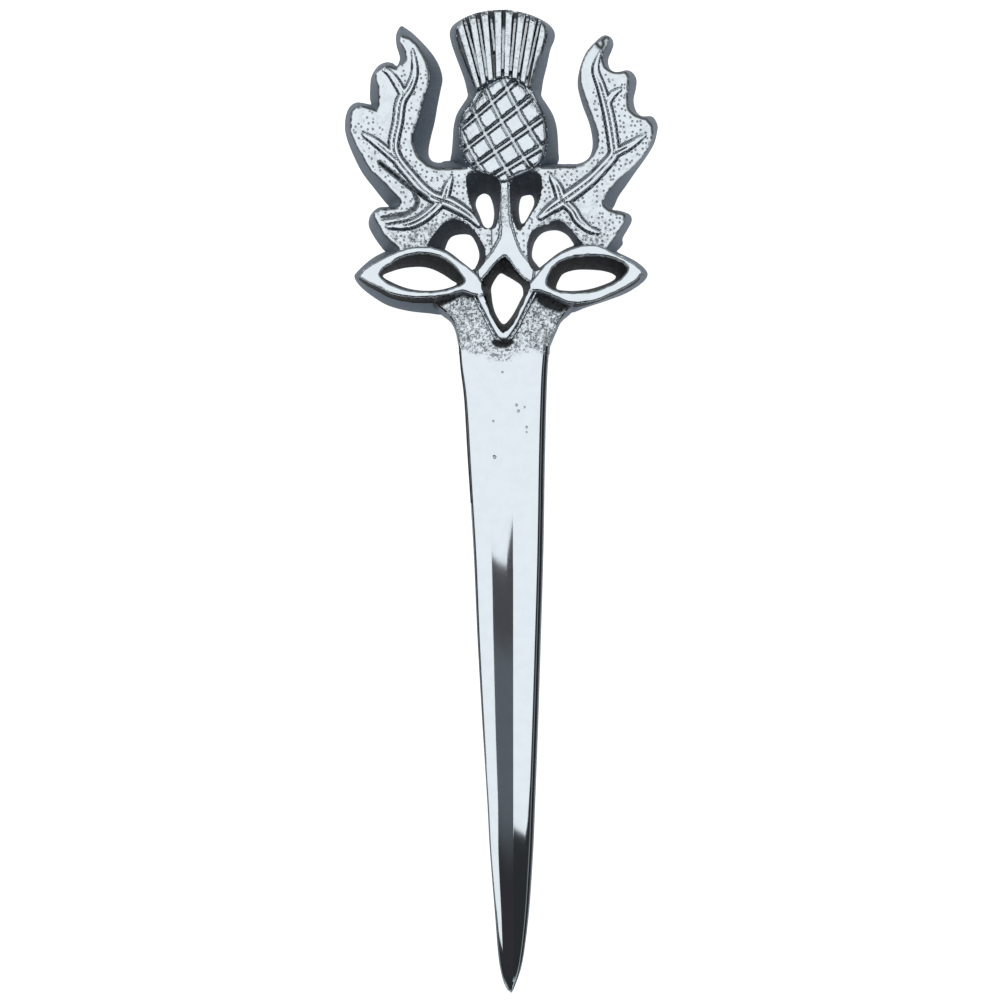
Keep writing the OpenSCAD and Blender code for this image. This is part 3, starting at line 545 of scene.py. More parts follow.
def drawn_rows(table, n):
    """A table's closed outline, smoothed, its front worn uneven by a fraction of a square."""
    rows = smooth(table, n, closed=True)
    rows[:, 2] += EDGE_WEAR * grain(rows[:, 2], rows[:, 3], 11.0)
    rows[:, 3] += EDGE_WEAR * grain(rows[:, 3], rows[:, 2], 13.0)
    return rows


def front_ring(table, n=4):
    """The front outline of a table, in squares."""
    return drawn_rows(table, n)[:, 2:4]


def eased_by(s, u, v, rings, reach=1.0):
    """How much a polished edge is lowered along the rings: a share of a quarter circle.

    Its radius is s.eased times reach.
    """
    square = s.head_w / SQUARES_W
    radius = s.eased * reach / square
    gap = np.full(u.shape, FAR)
    for ring in rings:
        gap = np.minimum(gap, nearest(u, v, ring, closed=True)[0])
    short = np.clip(1 - gap / radius, 0, 1)
    return s.eased * reach * (1 - np.sqrt(1 - short**2)) * EASED_SHARE


def vein_field(s, u, v, veins):
    """Nearest vein: distance over its half width, distance past its side in squares, and its share."""
    half = s.vein_w / 2 / (s.head_w / SQUARES_W)
    over = np.full(u.shape, FAR)
    past = np.full(u.shape, FAR)
    share = np.ones(u.shape)
    for table in veins:
        gap, more = nearest(u, v, smooth(table, 6))
        width = half * more[..., 0]
        nearer = gap - width < past
        over = np.where(nearer, gap / width, over)
        share = np.where(nearer, more[..., 0], share)
        past = np.where(nearer, gap - width, past)
    return over, past, share


def hollows(u, v):
    """Depth of the hollows, from 0 to 1: a bell across each path, times its share."""
    depth = np.zeros(u.shape)
    for path in HOLLOWS:
        gap, more = nearest(u, v, path)
        depth = np.maximum(depth, more[..., 0] * bump(gap, 1.75))
    return depth


def leaf_height(s, table, veins, holes):
    """Height of a leaf: its ground, a flat-topped ridge on each vein, a groove along either side.

    A ridge is one less the ninth power of the distance over the vein's half width. The creases,
    grooves and hollows are bells across their paths, and the edge's quarter circle comes off at last.
    """

    def height(u, v):
        over, past, share = vein_field(s, u, v, veins)
        ridge = (1 - np.clip(over, 0, 1) ** 9) * s.vein_h * mix(0.5, 1, share)
        crease = CREASE_DEEP * bump(over, 0.16) * step(0.55, 0.8, share)
        groove = GROOVE_DEEP * bump(past - 0.5, 0.6) * np.clip(share * 1.4, 0, 1)
        hollow = HOLLOW_DEEP * hollows(u, v) * (u < 0)
        z = s.leaf_t + ridge - crease - groove - hollow
        return z - eased_by(s, u, v, [front_ring(table)] + [front_ring(h) for h in holes], 0.6)

    return height


def span(table, v):
    """Left and right rim of the bulb or the brush at v, from its table of rows across."""
    rows = np.array(table, float)
    return np.interp(v, rows[:, 0], rows[:, 3]), np.interp(v, rows[:, 0], rows[:, 4])


def across_outline(table):
    """Closed smoothed outline of the bulb or the brush: down its left side and up its right."""
    rows = smooth(table, 4)
    down = rows[:, (1, 0, 3, 0)]
    up = rows[::-1][:, (2, 0, 4, 0)]
    return np.vstack([down, up])


def crown(table, t, rise, u, v):
    """Round crown: t at the rims and a parabola of the given rise between them."""
    left, right = span(table, v)
    q = np.clip((2 * u - left - right) / (right - left), -1, 1)
    return t + rise * (1 - q * q)


def net_count(u, v, shares):
    """Counts the net's ribs at a point: a whole number on each, from the terms that NET_AT names."""
    x, y = (u - NET_AT[0]) / NET_UNIT, (v - NET_AT[1]) / NET_UNIT
    return sum(k * term for k, term in zip(shares, (1, x, y, x * x, x * y, y * y)))


def net_offsets(u, v):
    """Squares from the nearest steep rib and the nearest shallow one, positive to its lower right."""
    counts = net_count(u, v, NET_STEEP), net_count(u, v, NET_SHALLOW)
    return [(c - np.round(c)) * gap for c, gap in zip(counts, NET_GAPS)]


def net_relief(u, v):
    """Relief of the bulb: 0 down in a groove, 0.6 on a rib and up to 1 on a pad.

    The groove above a shallow rib is wide and deep, and those beside a steep one are thin.
    """
    steep, shallow = net_offsets(u, v)
    uneven = 0.5 * grain(u, v, 8.0)
    rib = np.maximum(1 - step(1.2, 2.4, np.abs(steep)), 1 - step(1.2, 2.4, np.abs(shallow)))
    beside = mix(0.45, 1, step(2.4, 3.4, np.abs(steep) + uneven))
    over = np.where(shallow < 0, step(3.2, 4.8, -shallow + uneven), step(2.4, 3.4, shallow))
    return np.maximum(rib * 0.6, np.minimum(beside, over))


def bulb_height(s):
    """Height of the bulb: its crown, and net_h times one and a half of the net's relief less a half."""

    def height(u, v):
        z = crown(BULB, s.bulb_t, s.bulb_dome, u, v)
        left, right = span(BULB, v)
        rim = np.minimum(u - left, right - u)
        relief = mix(0.3, net_relief(u, v), step(0, 3, rim))
        return z + s.net_h * (relief * 1.5 - 0.5) - eased_by(s, u, v, [front_ring(across_outline(BULB), 1)])

    return height


def rib_relief(u, v):
    """Relief of the brush, 0 to 1: eight broad ribs that fan out upwards, thin ones in the gaps.

    A rib runs straight from its top to its foot, and is one less the twelfth power (a thin one the
    tenth) of the distance over its half width.
    """
    rise = np.zeros(u.shape)
    for top, low, v0, v1, width in RIBS:
        at = mix(top, low, (v - v0) / (v1 - v0))
        off = np.abs(u - at) / (width * mix(1, 0.72, np.clip((v - v0) / (v1 - v0), 0, 1)))
        end = step(BRUSH_END, 0, (v - 66) / 11 - ((u - 4) / 26) ** 2)
        rise = np.maximum(rise, np.clip(1 - off**12, 0, 1) * end)
    for top, low, v0, v1, width in THIN_RIBS:
        at = mix(top, low, (v - v0) / (v1 - v0))
        off = np.abs(u - at) / width
        ends = step(v0 - 3, v0 + 3, v) * step(v1 + 4, v1, v)
        rise = np.maximum(rise, 0.85 * np.clip(1 - off**10, 0, 1) * ends)
    return rise


def brush_height(s):
    """Height of the brush: its crown, and rib_h times 1.4 of the ribs' relief less 0.4."""

    def height(u, v):
        z = crown(BRUSH, s.brush_t, s.brush_dome, u, v)
        cut = eased_by(s, u, v, [front_ring(across_outline(BRUSH), 1)])
        return z + s.rib_h * (rib_relief(u, v) * 1.4 - 0.4) - cut

    return height


def plain_height(s, t, rings, reach=1.0, rough=0.0, size=7.0):
    """Height of a plain form: t, uneven by rough in waves of size squares, with its edges eased."""

    def height(u, v):
        return t + rough * grain(u, v, size) - eased_by(s, u, v, rings, reach)

    return height


def ring_box(ring, margin):
    """Box round a ring of squares, with a margin."""
    low, high = ring.min(0) - margin, ring.max(0) + margin
    return low[0], high[0], low[1], high[1]


def cast_form(name, s, table, t, height, gap, walls=PLAIN_WALLS, n=4, fan=0.0):
    """One form of the casting: its carved block, kept inside its drafted outline."""
    rows = np.array(table, float)
    ring = np.vstack([rows[:, :2], rows[:, 2:4]])
    block = carved_block(name, s, ring_box(ring, BLOCK_MARGIN + FAN_MARGIN * fan), gap, height, fan=fan)
    return combine(block, outline_prism(name + "_edge", s, table, t, walls, n=n), "INTERSECT")


def band(name, s, rows, n, section):
    """A profile carried along a path of (u, v, width share).

    section is an array of (offset, height): offset in half widths across the path, height above the
    casting's back. The offset direction is the path's own direction turned a quarter.
    """
    path = smooth(rows, n)
    z = section[:, 1]
    half = s.vee_w / 2
    mid = squares_to_front(s, path[:, 0], path[:, 1], np.full(len(path), s.vee_t))
    along = np.gradient(mid, axis=0)
    along /= np.linalg.norm(along, axis=1)[:, None]
    side = np.stack([-along[:, 1], along[:, 0]], 1)
    reach = half * path[:, 2, None] * section[None, :, 0]
    plan = mid[:, None] + side[:, None] * reach[..., None]
    return loft(name, np.concatenate([plan, np.broadcast_to(z, reach.shape)[..., None]], -1))


def blade_solid(s):
    """The blade: its section carried down its length.

    Across, the section is the wall, an eased edge, a nearly flat facet up to the ridge, the ridge's
    soft flat, and the same down to the right. Every station takes its widths and heights from BLADE.
    """
    rows = smooth(BLADE, 10)
    y = s.pin_l / 2 - s.head_l - rows[:, 0] * (s.pin_l - s.head_l)
    left, right = -rows[:, 1] * s.blade_w, rows[:, 2] * s.blade_w
    ridge_z, edge_z = s.blade_t * rows[:, 3], s.edge_t * rows[:, 4]
    wide = right - left
    cant = np.minimum(EDGE_CANT, wide / 6)
    flat = np.minimum(s.ridge_w, wide / 4) / 2
    mid = np.maximum(left + cant + flat, np.minimum(RIDGE_X, right - cant - flat))
    ease = np.minimum(EDGE_EASE, wide / 9)
    zero = np.zeros(len(y))

    def facet(x0, z0, x1, z1, shares, bend):
        """Points from the ridge's side at x0 to the edge at x1, falling as a power of the way."""
        return [(mix(x0, x1, q), mix(z0, z1, q**bend)) for q in shares]

    section = [(left, zero), (right, zero)]
    section += [(right - cant * 0.6, edge_z - ease * 1.1), (right - cant, edge_z - ease * 0.6),
                (right - cant - ease * 0.35, edge_z - ease * 0.25)]
    section += facet(mid + flat, ridge_z, right - cant - ease, edge_z, RIGHT_FACET, 1.0)
    section += [(mid + flat - 0.00004, ridge_z), (mid - flat, ridge_z)]
    ease = np.minimum(ease, 0.00006 + 0.00015 * bump(rows[:, 0] - 0.12, 0.13))
    section += facet(mid - flat, ridge_z, left + cant + ease, edge_z, LEFT_FACET, 1.9)
    section += [(left + cant + ease * 0.35, edge_z - ease * 0.25), (left + cant, edge_z - ease * 0.6),
                (left + cant * 0.6, edge_z - ease * 1.1)]
    shift = BLADE_U * s.head_w / SQUARES_W
    rings = np.stack([np.stack([shift + x, y, z + zero], -1) for x, z in section], 1)
    return loft("blade", rings[::-1])


def cast_leaves(s):
    """Both leaves with the web between them, joined."""
    leaves = []
    for name, table, veins, holes in (
        ("casting_front", LEFT_PLATE, LEFT_VEINS, LEFT_HOLES),
        ("right_leaf", RIGHT_PLATE, RIGHT_VEINS, RIGHT_HOLES),
    ):
        height = leaf_height(s, table, veins, holes)
        leaves.append(cast_form(name, s, table, s.leaf_t, height, LEAF_GRID))
    return combine(*leaves, "UNION")


def cast_casting(s):
    """The whole front: its forms joined, and its holes pierced as the model's are."""
    whole = cast_leaves(s)
    outline, height = across_outline(BULB), bulb_height(s)
    combine(whole, cast_form("bulb", s, outline, s.bulb_t, height, BULB_GRID, n=1), "UNION")
    height = plain_height(s, s.stem_t, [front_ring(STEM), front_ring(CENTRE_HOLE)], reach=1.5, rough=0.000005)
    combine(whole, cast_form("stem", s, STEM, s.stem_t, height, PLAIN_GRID), "UNION")
    for i, table in enumerate(LEFT_HOLES + RIGHT_HOLES):
        combine(whole, hole_prism(f"hole_{i}", s, table, s.leaf_t), "DIFFERENCE")
    outline, height = across_outline(BRUSH), brush_height(s)
    combine(whole, cast_form("brush", s, outline, s.brush_t, height, BRUSH_GRID, n=1, fan=BRUSH_FAN), "UNION")
    height = plain_height(s, s.neck_t, [front_ring(NECK)], reach=1.5, rough=0.00002, size=9.0)
    combine(whole, cast_form("neck", s, NECK, s.neck_t, height, PLAIN_GRID), "UNION")
    for name, table, hole in (
        ("left_loop", LEFT_LOOP, LEFT_LOOP_HOLE),
        ("right_loop", RIGHT_LOOP, RIGHT_LOOP_HOLE),
    ):
        height = plain_height(s, s.loop_t, [front_ring(table), front_ring(hole)], reach=1.3)
        combine(whole, cast_form(name, s, table, s.loop_t, height, LOOP_GRID, LOOP_WALLS), "UNION")
    combine(whole, band("vee", s, VEE, 6, VEE_SECTION * (1, s.vee_t)), "UNION")
    combine(whole, blade_solid(s), "UNION")
    for i, (table, t) in enumerate(
        ((LEFT_LOOP_HOLE, s.loop_t), (RIGHT_LOOP_HOLE, s.loop_t), (CENTRE_HOLE, s.stem_t))
    ):
        combine(whole, hole_prism(f"loop_hole_{i}", s, table, t), "DIFFERENCE")
    return whole


def put(mesh, name, values, domain="POINT"):
    """Writes one value to each point or face of a mesh."""
    layer = mesh.attributes.new(name, "FLOAT", domain)
    layer.data.foreach_set("value", np.asarray(values, np.float32))


def edge_line(u, v, ring):
    """A painted shade line close inside a ring: strong where its edge faces up or to the right, else faint.

    The point is compared with one a little further the other way, which lies farther from such an edge.
    """
    gap = nearest(u, v, ring, closed=True)[0]
    behind = nearest(u - 0.7, v + 0.7, ring, closed=True)[0]
    strong = (1 - step(1.2, 2.6, gap)) * step(0.2, 0.6, behind - gap)
    return np.maximum(strong, 0.45 * (1 - step(0.3, 1.3, gap)))


def leaf_marks(s, u, v, z, free, table, veins):
    """Stipple, roughness and painted shade lines of one leaf, each from 0 to 1, at the points that are free.

    The stipple keeps clear of veins and edges and thickens down the leaf. The ground beside the eyes
    is rough. The grooves beside the veins, the creases along them and the leaf's edge get painted shade.
    """
    ring = front_ring(table)
    edge = nearest(u, v, ring, closed=True)[0]
    at_face = (z > s.leaf_t - FACE_DEPTH) & (z < s.leaf_t + 0.00045)
    on_leaf = (inside(u, v, ring) | (edge < 0.7)) & at_face & free
    over, past, share = vein_field(s, u, v, veins)
    ground = on_leaf * step(1.2, 3.0, past) * step(1.5, 4, edge)
    stipple = ground * mix(0.45, 1, step(105, 165, v + 0.2 * np.abs(u)))
    low = ground * step(165, 200, v - 0.35 * np.abs(u)) * (np.abs(u) > 40)
    rough = np.where(u < 0, 0.7, 0.55) * low
    # Painted shade in the grooves and creases, and painted shade lines along the leaf's edge
    grooves = np.maximum(0.75 * bump(past - 0.4, 0.7), 0.4 * bump(over, 0.14) * step(0.55, 0.8, share))
    dark = np.maximum(grooves * np.clip(share * 1.4, 0, 1), 0.9 * edge_line(u, v, ring))
    return stipple, rough, on_leaf * dark


def hollow_shade(s, u, v, z):
    """Painted shade in the hollows, broken up by the grain, and in the curl at the right leaf's tip."""
    curl = bump(nearest(u, v, CURL)[0], 2.4)
    hollow = np.clip(1.4 * hollows(u, v) * (0.75 + 0.35 * grain(u, v, 9.0)), 0, 1)
    return (z < s.leaf_t + 0.0003) * (z > s.leaf_t - FACE_DEPTH) * np.maximum(hollow, curl)


def bulb_shade(u, v, ring):
    """Painted shade of the bulb: down the net's grooves, faint on its ribs, and a line inside its rim."""
    steep, shallow = net_offsets(u, v)
    patchy = 0.7 + 0.3 * grain(u, v, 26.0)
    beside = 0.5 * patchy * bump(np.abs(steep) - 2.7, 0.7)
    over = np.where(shallow < 0, 0.9 * patchy * bump(-shallow - 3.4, 1.1), 0.5 * bump(shallow - 2.7, 0.7))
    on_rib = 0.16 * (1 - step(1.6, 2.4, np.minimum(np.abs(steep), np.abs(shallow))))
    rim = 0.85 * edge_line(u, v, ring) * (v > 92)
    return np.maximum.reduce([beside, over, on_rib, rim])


def brush_shade(u, v, ring):
    """Painted shade of the brush: deep in the gaps, less on the thin ribs, and a line inside its rim."""
    ribs = rib_relief(u, v)
    gaps = mix(0.8, 0.95, step(35, 15, v)) * mix(0.4, 1, step(78, 62, v)) * (1 - step(0.2, 0.7, ribs))
    thin = 0.3 * (1 - step(0.85, 0.92, ribs))
    rim = 0.95 * edge_line(u, v, ring) * (v < 78)
    return np.maximum.reduce([gaps, thin, rim])


def away_from(u, v, tables):
    """Distance in squares to the nearest of these front outlines."""
    return np.minimum.reduce([nearest(u, v, front_ring(table), closed=True)[0] for table in tables])


def mark_points(s, mesh):
    """Writes what the finish needs onto the points, worked out from where they are.

    stipple is 1 on a leaf's ground away from its veins and edges; rough is 1 on the neck and the
    stem's top; the painted shade is 1 down in the grooves, and it also darkens edges, hollows, the
    loops' rims and the neck beside the loops.
    """
    co = np.empty(len(mesh.vertices) * 3)
    mesh.vertices.foreach_get("co", co)
    co = co.reshape(-1, 3)
    u, v = front_to_squares(s, co)
    z = co[:, 2]
    bulb_ring, brush_ring = (front_ring(across_outline(table), 1) for table in (BULB, BRUSH))
    on_bulb = inside(u, v, bulb_ring) & (z > s.bulb_t - 0.0003)
    on_brush = inside(u, v, brush_ring) & (z > s.brush_t - FACE_DEPTH) & ~on_bulb
    on_stem = inside(u, v, front_ring(STEM)) & (z > s.leaf_t)
    free = ~(on_bulb | on_brush | on_stem)
    leaves = [leaf_marks(s, u, v, z, free, table, veins)
              for table, veins in ((LEFT_PLATE, LEFT_VEINS), (RIGHT_PLATE, RIGHT_VEINS))]
    stipple, rough, sunk = (np.maximum(*marks) for marks in zip(*leaves))
    # Painted shade in the leaf's hollows and in the curl
    sunk = np.maximum(sunk, hollow_shade(s, u, v, z))
    # Painted shade in the bulb's net
    sunk = np.maximum(sunk, on_bulb * bulb_shade(u, v, bulb_ring))
    # Painted shade in the brush's gaps
    sunk = np.maximum(sunk, on_brush * brush_shade(u, v, brush_ring))
    to_loop = away_from(u, v, (LEFT_LOOP, RIGHT_LOOP))
    to_rim = np.minimum(to_loop, away_from(u, v, (LEFT_LOOP_HOLE, RIGHT_LOOP_HOLE)))
    # Painted shade along the rims of the loops and their holes
    sunk = np.maximum(sunk, (z > s.neck_t + 0.0003) * (v > 232) * 0.75 * (1 - step(0.3, 1.2, to_rim)))
    # Painted shadow on the neck beside the loops, reaching further on the right
    on_neck = inside(u, v, front_ring(NECK)) & (z < s.vee_t * 0.93) & (z > s.neck_t - FACE_DEPTH)
    reach = mix(4, 8, step(0, 30, u)) + 1.5 * grain(u, v, 9.0)
    shaded = (1 - step(reach - 2, reach + 3, to_loop)) * (np.abs(z - s.neck_t) < 0.0004)
    sunk = np.maximum(sunk, on_neck * shaded)
    on_neck = on_neck * step(343, 336, v + 3 * grain(u, v, 17.0) - 11 * bump(u, 17))
    stem_top = 0.7 * on_stem * step(222, 210, v) * (v > 178)
    rough = np.maximum.reduce([rough, on_neck, stem_top, 0.3 * on_brush, 0.12 * on_bulb])
    for name, values in (("stipple", stipple), ("sunk", sunk), ("rough", rough)):
        put(mesh, name, values)


def mark_faces(s, mesh):
    """Tells the side walls, and the walls inside the holes that carry a painted shade, from the polished
    front.

    A face is a wall where it leans too far from level, or where its middle is seen outside every
    form's front outline or within a hole's. The slopes below the loops' lower arms get a painted
    shade, and the blade's steep edges a painted dark reflection.
    """
    middle, normal = np.empty(len(mesh.polygons) * 3), np.empty(len(mesh.polygons) * 3)
    mesh.polygons.foreach_get("center", middle)
    mesh.polygons.foreach_get("normal", normal)
    middle, lean = middle.reshape(-1, 3), normal.reshape(-1, 3)[:, 2]
    u, v = front_to_squares(s, middle)
    outlines = [front_ring(table) for table in (LEFT_PLATE, RIGHT_PLATE, STEM, NECK, LEFT_LOOP, RIGHT_LOOP)]
    outlines += [front_ring(across_outline(table), 1) for table in (BULB, BRUSH)]
    front = np.logical_or.reduce([inside(u, v, ring) for ring in outlines])
    blade = v > SQUARES_L
    # Walls inside the holes get a painted shade, weaker in the leaves' holes
    hole = np.zeros(len(u))
    for table in LEFT_HOLES + RIGHT_HOLES:
        below = middle[:, 2] < s.leaf_t - 0.00005
        hole = np.maximum(hole, 0.6 * (inside(u, v, front_ring(table)) & below))
    for table in (LEFT_LOOP_HOLE, RIGHT_LOOP_HOLE, CENTRE_HOLE):
        below = middle[:, 2] < s.stem_t - 0.00005
        hole = np.maximum(hole, inside(u, v, front_ring(table)) & below)
    wall = np.where(blade, lean < 0.5, (~front & (lean < 0.98)) | (hole > 0) | (lean < 0.45))
    # Faces on the slopes below the loops' lower arms get a painted shade, the blade's steep edges a painted
    # dark reflection
    under = ~front & (hole == 0) & (lean < 0.98) & (middle[:, 2] > s.loop_t * 0.52)
    under &= (v > 268) & (v < SQUARES_L - 20)
    put(mesh, "wall", wall, "FACE")
    put(mesh, "hole_shade", hole, "FACE")
    put(mesh, "slope_shade", under | (blade & (lean > 0.3) & (lean < 0.8)), "FACE")


def lift(mesh, height):
    """Moves a mesh's points up, so that the casting's back stands over the floor."""
    mesh.transform(Matrix.Translation((0, 0, height)))


def shade(mesh, angle):
    """Smooth faces, with edges sharper than the angle kept."""
    mesh.polygons.foreach_set("use_smooth", np.ones(len(mesh.polygons), bool))
    mesh.set_sharp_from_angle(angle=angle)


class Nodes:
    """A material's node tree, with short calls to add and link its nodes."""

    def __init__(self, name):
        self.material = bpy.data.materials.new(name)
        self.material.use_nodes = True
        self.tree = self.material.node_tree
        self.shader = self.tree.nodes["Principled BSDF"]

    def add(self, kind, settings=None, **inputs):
        """A node of this kind; inputs are values or the sockets they are linked from.

        An input is named by its socket, with _ for a blank, or by i and its number.
        """
        node = self.tree.nodes.new(kind)
        for key, value in (settings or {}).items():
            setattr(node, key, value)
        for key, value in inputs.items():
            numbered = key[0] == "i" and key[1:].isdigit()
            self.feed(node.inputs[int(key[1:]) if numbered else key.replace("_", " ")], value)
        return node

    def feed(self, socket, value):
        """Links a socket from another one, or sets it to a plain value."""
        if isinstance(value, bpy.types.NodeSocket):
            self.tree.links.new(value, socket)
        else:
            socket.default_value = value

    def math(self, operation, *values):
        """The values taken together by one operation, from left to right."""
        result = values[0]
        for value in values[1:]:
            node = self.add("ShaderNodeMath", {"operation": operation}, i0=result, i1=value)
            result = node.outputs[0]
        return result

    def times(self, *values):
        """Product of the values."""
        return self.math("MULTIPLY", *values)

    def plus(self, *values):
        """Sum of the values."""
        return self.math("ADD", *values)

    def most(self, *values):
        """Greatest of the values."""
        return self.math("MAXIMUM", *values)

    def ramp(self, value, low, high, to_low=0.0, to_high=1.0):
        """Goes smoothly from to_low, where value is low, to to_high, where it is high."""
        node = self.add("ShaderNodeMapRange", {"interpolation_type": "SMOOTHSTEP"}, i0=value, i1=low, i2=high,
                        i3=to_low, i4=to_high)
        return node.outputs[0]

    def blend(self, share, a, b):
        """The colour that lies this share of the way from a to b."""
        node = self.add("ShaderNodeMix", {"data_type": "RGBA"})
        for socket, value in zip((node.inputs[0], node.inputs[6], node.inputs[7]), (share, a, b)):
            self.feed(socket, value)
        return node.outputs[2]

    def noise(self, place, turns, detail, roughness=0.5):
        """Cloudy unevenness with this many turns to the metre."""
        node = self.add("ShaderNodeTexNoise", Vector=place, Scale=turns, Detail=detail, Roughness=roughness)
        return node.outputs["Fac"]

    def cells(self, place, turns, spread, dimensions):
        """Distance to the nearest of points strewn with this many to the metre, over their spacing."""
        node = self.add("ShaderNodeTexVoronoi", {"voronoi_dimensions": dimensions}, Vector=place, Scale=turns,
                        Randomness=spread)
        return node.outputs["Distance"]

    def attribute(self, name):
        """What the mesh carries under this name."""
        return self.add("ShaderNodeAttribute", {"attribute_name": name}).outputs["Fac"]

    def place(self):
        """The point's place on the object."""
        return self.add("ShaderNodeTexCoord").outputs["Object"]


def rgba(colour, share=1.0):
    """A colour times share, with full cover."""
    return (*(part * share for part in colour), 1.0)


def spots(n, s, flat, table):
    """1 within each listed spot, fading at its rim; flat is the place with its height left out."""
    found = 0.0
    for u, v, size in table:
        x, y = squares_to_front(s, np.array([u]), np.array([v]), np.array([s.blade_t]))[0]
        away = n.add("ShaderNodeVectorMath", {"operation": "DISTANCE"}, i0=flat, i1=(x, y, 0))
        found = n.most(found, n.ramp(away.outputs["Value"], size * 0.6, size * 1.3, 1.0, 0.0))
    return found


def plated_material(s, finish):
    """Bright plating: polished in front, grey on the side walls and darkened by painted shade in the holes
    and grooves, stippled on the leaves and porous on the neck.

    The mesh says where each holds, by wall, inner, soot, sunk, stipple and rough, all from 0 to 1.
    """
    n = Nodes("plated_casting")
    place = n.place()
    wall, hole_shade, slope_shade, sunk, stipple, rough = (
        n.attribute(name) for name in ("wall", "hole_shade", "slope_shade", "sunk", "stipple", "rough"))
    flat = n.add("ShaderNodeMapping", Vector=place, Scale=(1, 1, 0)).outputs[0]
    # Painted shadows from the listed spots join the painted shade
    sunk = n.most(sunk, spots(n, s, flat, SHADOWS))
    fine = n.noise(place, 5200.0, 3.0, 0.6)
    broad = n.noise(place, 900.0, 2.0)
    mottle = n.noise(place, 1500.0, 4.0, 0.65)
    uneven = n.noise(place, 2300.0, 2.0)

    # Dots struck into the leaves, some left out by a slow drift
    dot = n.ramp(n.cells(place, 1 / s.dot_gap, 0.75, "2D"), 0.05, 0.26, 1.0, 0.0)
    crowd = n.ramp(n.plus(n.noise(place, 420.0, 1.0), n.times(stipple, 0.32)), 0.57, 0.71)
    dot = n.times(dot, n.ramp(stipple, 0.0, 0.3), crowd)
    # Pores and specks of the cast ground, and the blade's pits
    pore = n.times(n.ramp(n.cells(place, 3600.0, 1.0, "3D"), 0.08, 0.4, 0.7, 0.0), rough)
    pore = n.most(pore, spots(n, s, flat, PITS))
    speck = n.ramp(n.noise(place, 3400.0, 3.0, 0.6), 0.5, 0.64)
    speck = n.times(speck, rough, n.ramp(mottle, 0.4, 0.6, 0.4))

    # Colour, from the polished front to what lies over it
    tone = n.blend(n.ramp(broad, 0.35, 0.7), rgba(finish.plating), rgba(finish.plating, 0.97))
    worn = n.plus(n.times(stipple, 0.25), n.times(rough, 0.4))
    tone = n.blend(n.times(n.ramp(mottle, 0.44, 0.62), worn), tone, rgba(finish.plating, 0.4))
    tone = n.blend(n.times(speck, 0.55), tone, rgba(finish.plating, 0.15))
    outer = n.blend(n.ramp(fine, 0.3, 0.75), rgba(finish.wall), rgba(finish.wall, 1.35))
    # Painted shade on the walls inside the holes, mottled
    pierced = n.blend(n.ramp(mottle, 0.4, 0.7), rgba(finish.pierced), rgba(finish.pierced, 2.4))
    tone = n.blend(wall, tone, n.blend(hole_shade, outer, pierced))
    # Painted shade on the slopes under the loops, and a painted dark reflection on the blade's steep edges
    slope_shade_tone = n.blend(n.ramp(mottle, 0.5, 0.75), rgba(finish.groove, 0.5), rgba(finish.groove))
    tone = n.blend(slope_shade, tone, slope_shade_tone)
    # Painted shade: grooves, edge lines, hollows and the neck beside the loops darken towards the groove
    # colour
    tone = n.blend(n.times(sunk, 0.92), tone, rgba(finish.groove))
    tone = n.blend(n.times(dot, 0.4), tone, rgba(finish.plating, 0.25))
    tone = n.blend(n.times(pore, 0.5), tone, rgba(finish.plating, 0.2))
    n.feed(n.shader.inputs["Base Color"], tone)
    # Weaker reflections where shade is painted in the holes and on the slopes under the loops
    n.feed(n.shader.inputs["Specular IOR Level"], n.ramp(n.most(hole_shade, slope_shade), 0.0, 1.0, 0.5, 0.12))
    n.feed(n.shader.inputs["Metallic"], n.ramp(wall, 0.0, 1.0, 1.0, 0.1))

    # Gloss and relief, both duller and rougher on the side walls and under the painted shade
    dull = n.most(wall, n.times(sunk, 0.9))
    matt = n.most(stipple, rough)
    n.feed(n.shader.inputs["Roughness"], n.plus(n.times(dull, 0.6), 0.045, n.times(matt, 0.12)))
    relief = n.plus(n.times(dot, -0.8), n.times(n.plus(pore, speck), -0.8))
    relief = n.plus(relief, n.times(fine, 0.6, n.most(wall, rough)), n.times(uneven, 0.9, matt))
    n.feed(n.shader.inputs["Normal"],
           n.add("ShaderNodeBump", Strength=0.75, Distance=0.00008, Height=relief).outputs[0])
    return n.material


def steel_material(finish):
    """Drawn steel: faint lines along the pin and a soft sheen."""
    n = Nodes("drawn_steel")
    place = n.place()
    drawn = n.add("ShaderNodeMapping", Vector=place, Scale=(9000, 250, 9000)).outputs[0]
    lines = n.noise(drawn, 1.0, 2.0)
    tone = n.blend(n.ramp(n.noise(place, 700.0, 3.0), 0.4, 0.75), rgba(finish.steel), rgba(finish.steel, 0.8))
    n.feed(n.shader.inputs["Base Color"], tone)
    n.shader.inputs["Metallic"].default_value = 1.0
    n.feed(n.shader.inputs["Roughness"], n.ramp(lines, 0.2, 0.8, 0.22, 0.4))
    n.feed(n.shader.inputs["Normal"],
           n.add("ShaderNodeBump", Strength=0.3, Distance=0.00002, Height=lines).outputs[0])
    return n.material


def floor_material(finish):
    """Plain pale floor, lit a little from within so that it stays white round the pin."""
    n = Nodes("pale_floor")
    tone = n.blend(n.noise(n.place(), 60.0, 2.0), rgba(finish.floor), rgba(finish.floor, 0.99))
    n.feed(n.shader.inputs["Base Color"], tone)
    n.shader.inputs["Roughness"].default_value = 0.9
    n.shader.inputs["Emission Color"].default_value = (1, 1, 1, 1)
    n.shader.inputs["Emission Strength"].default_value = 0.85
    return n.material


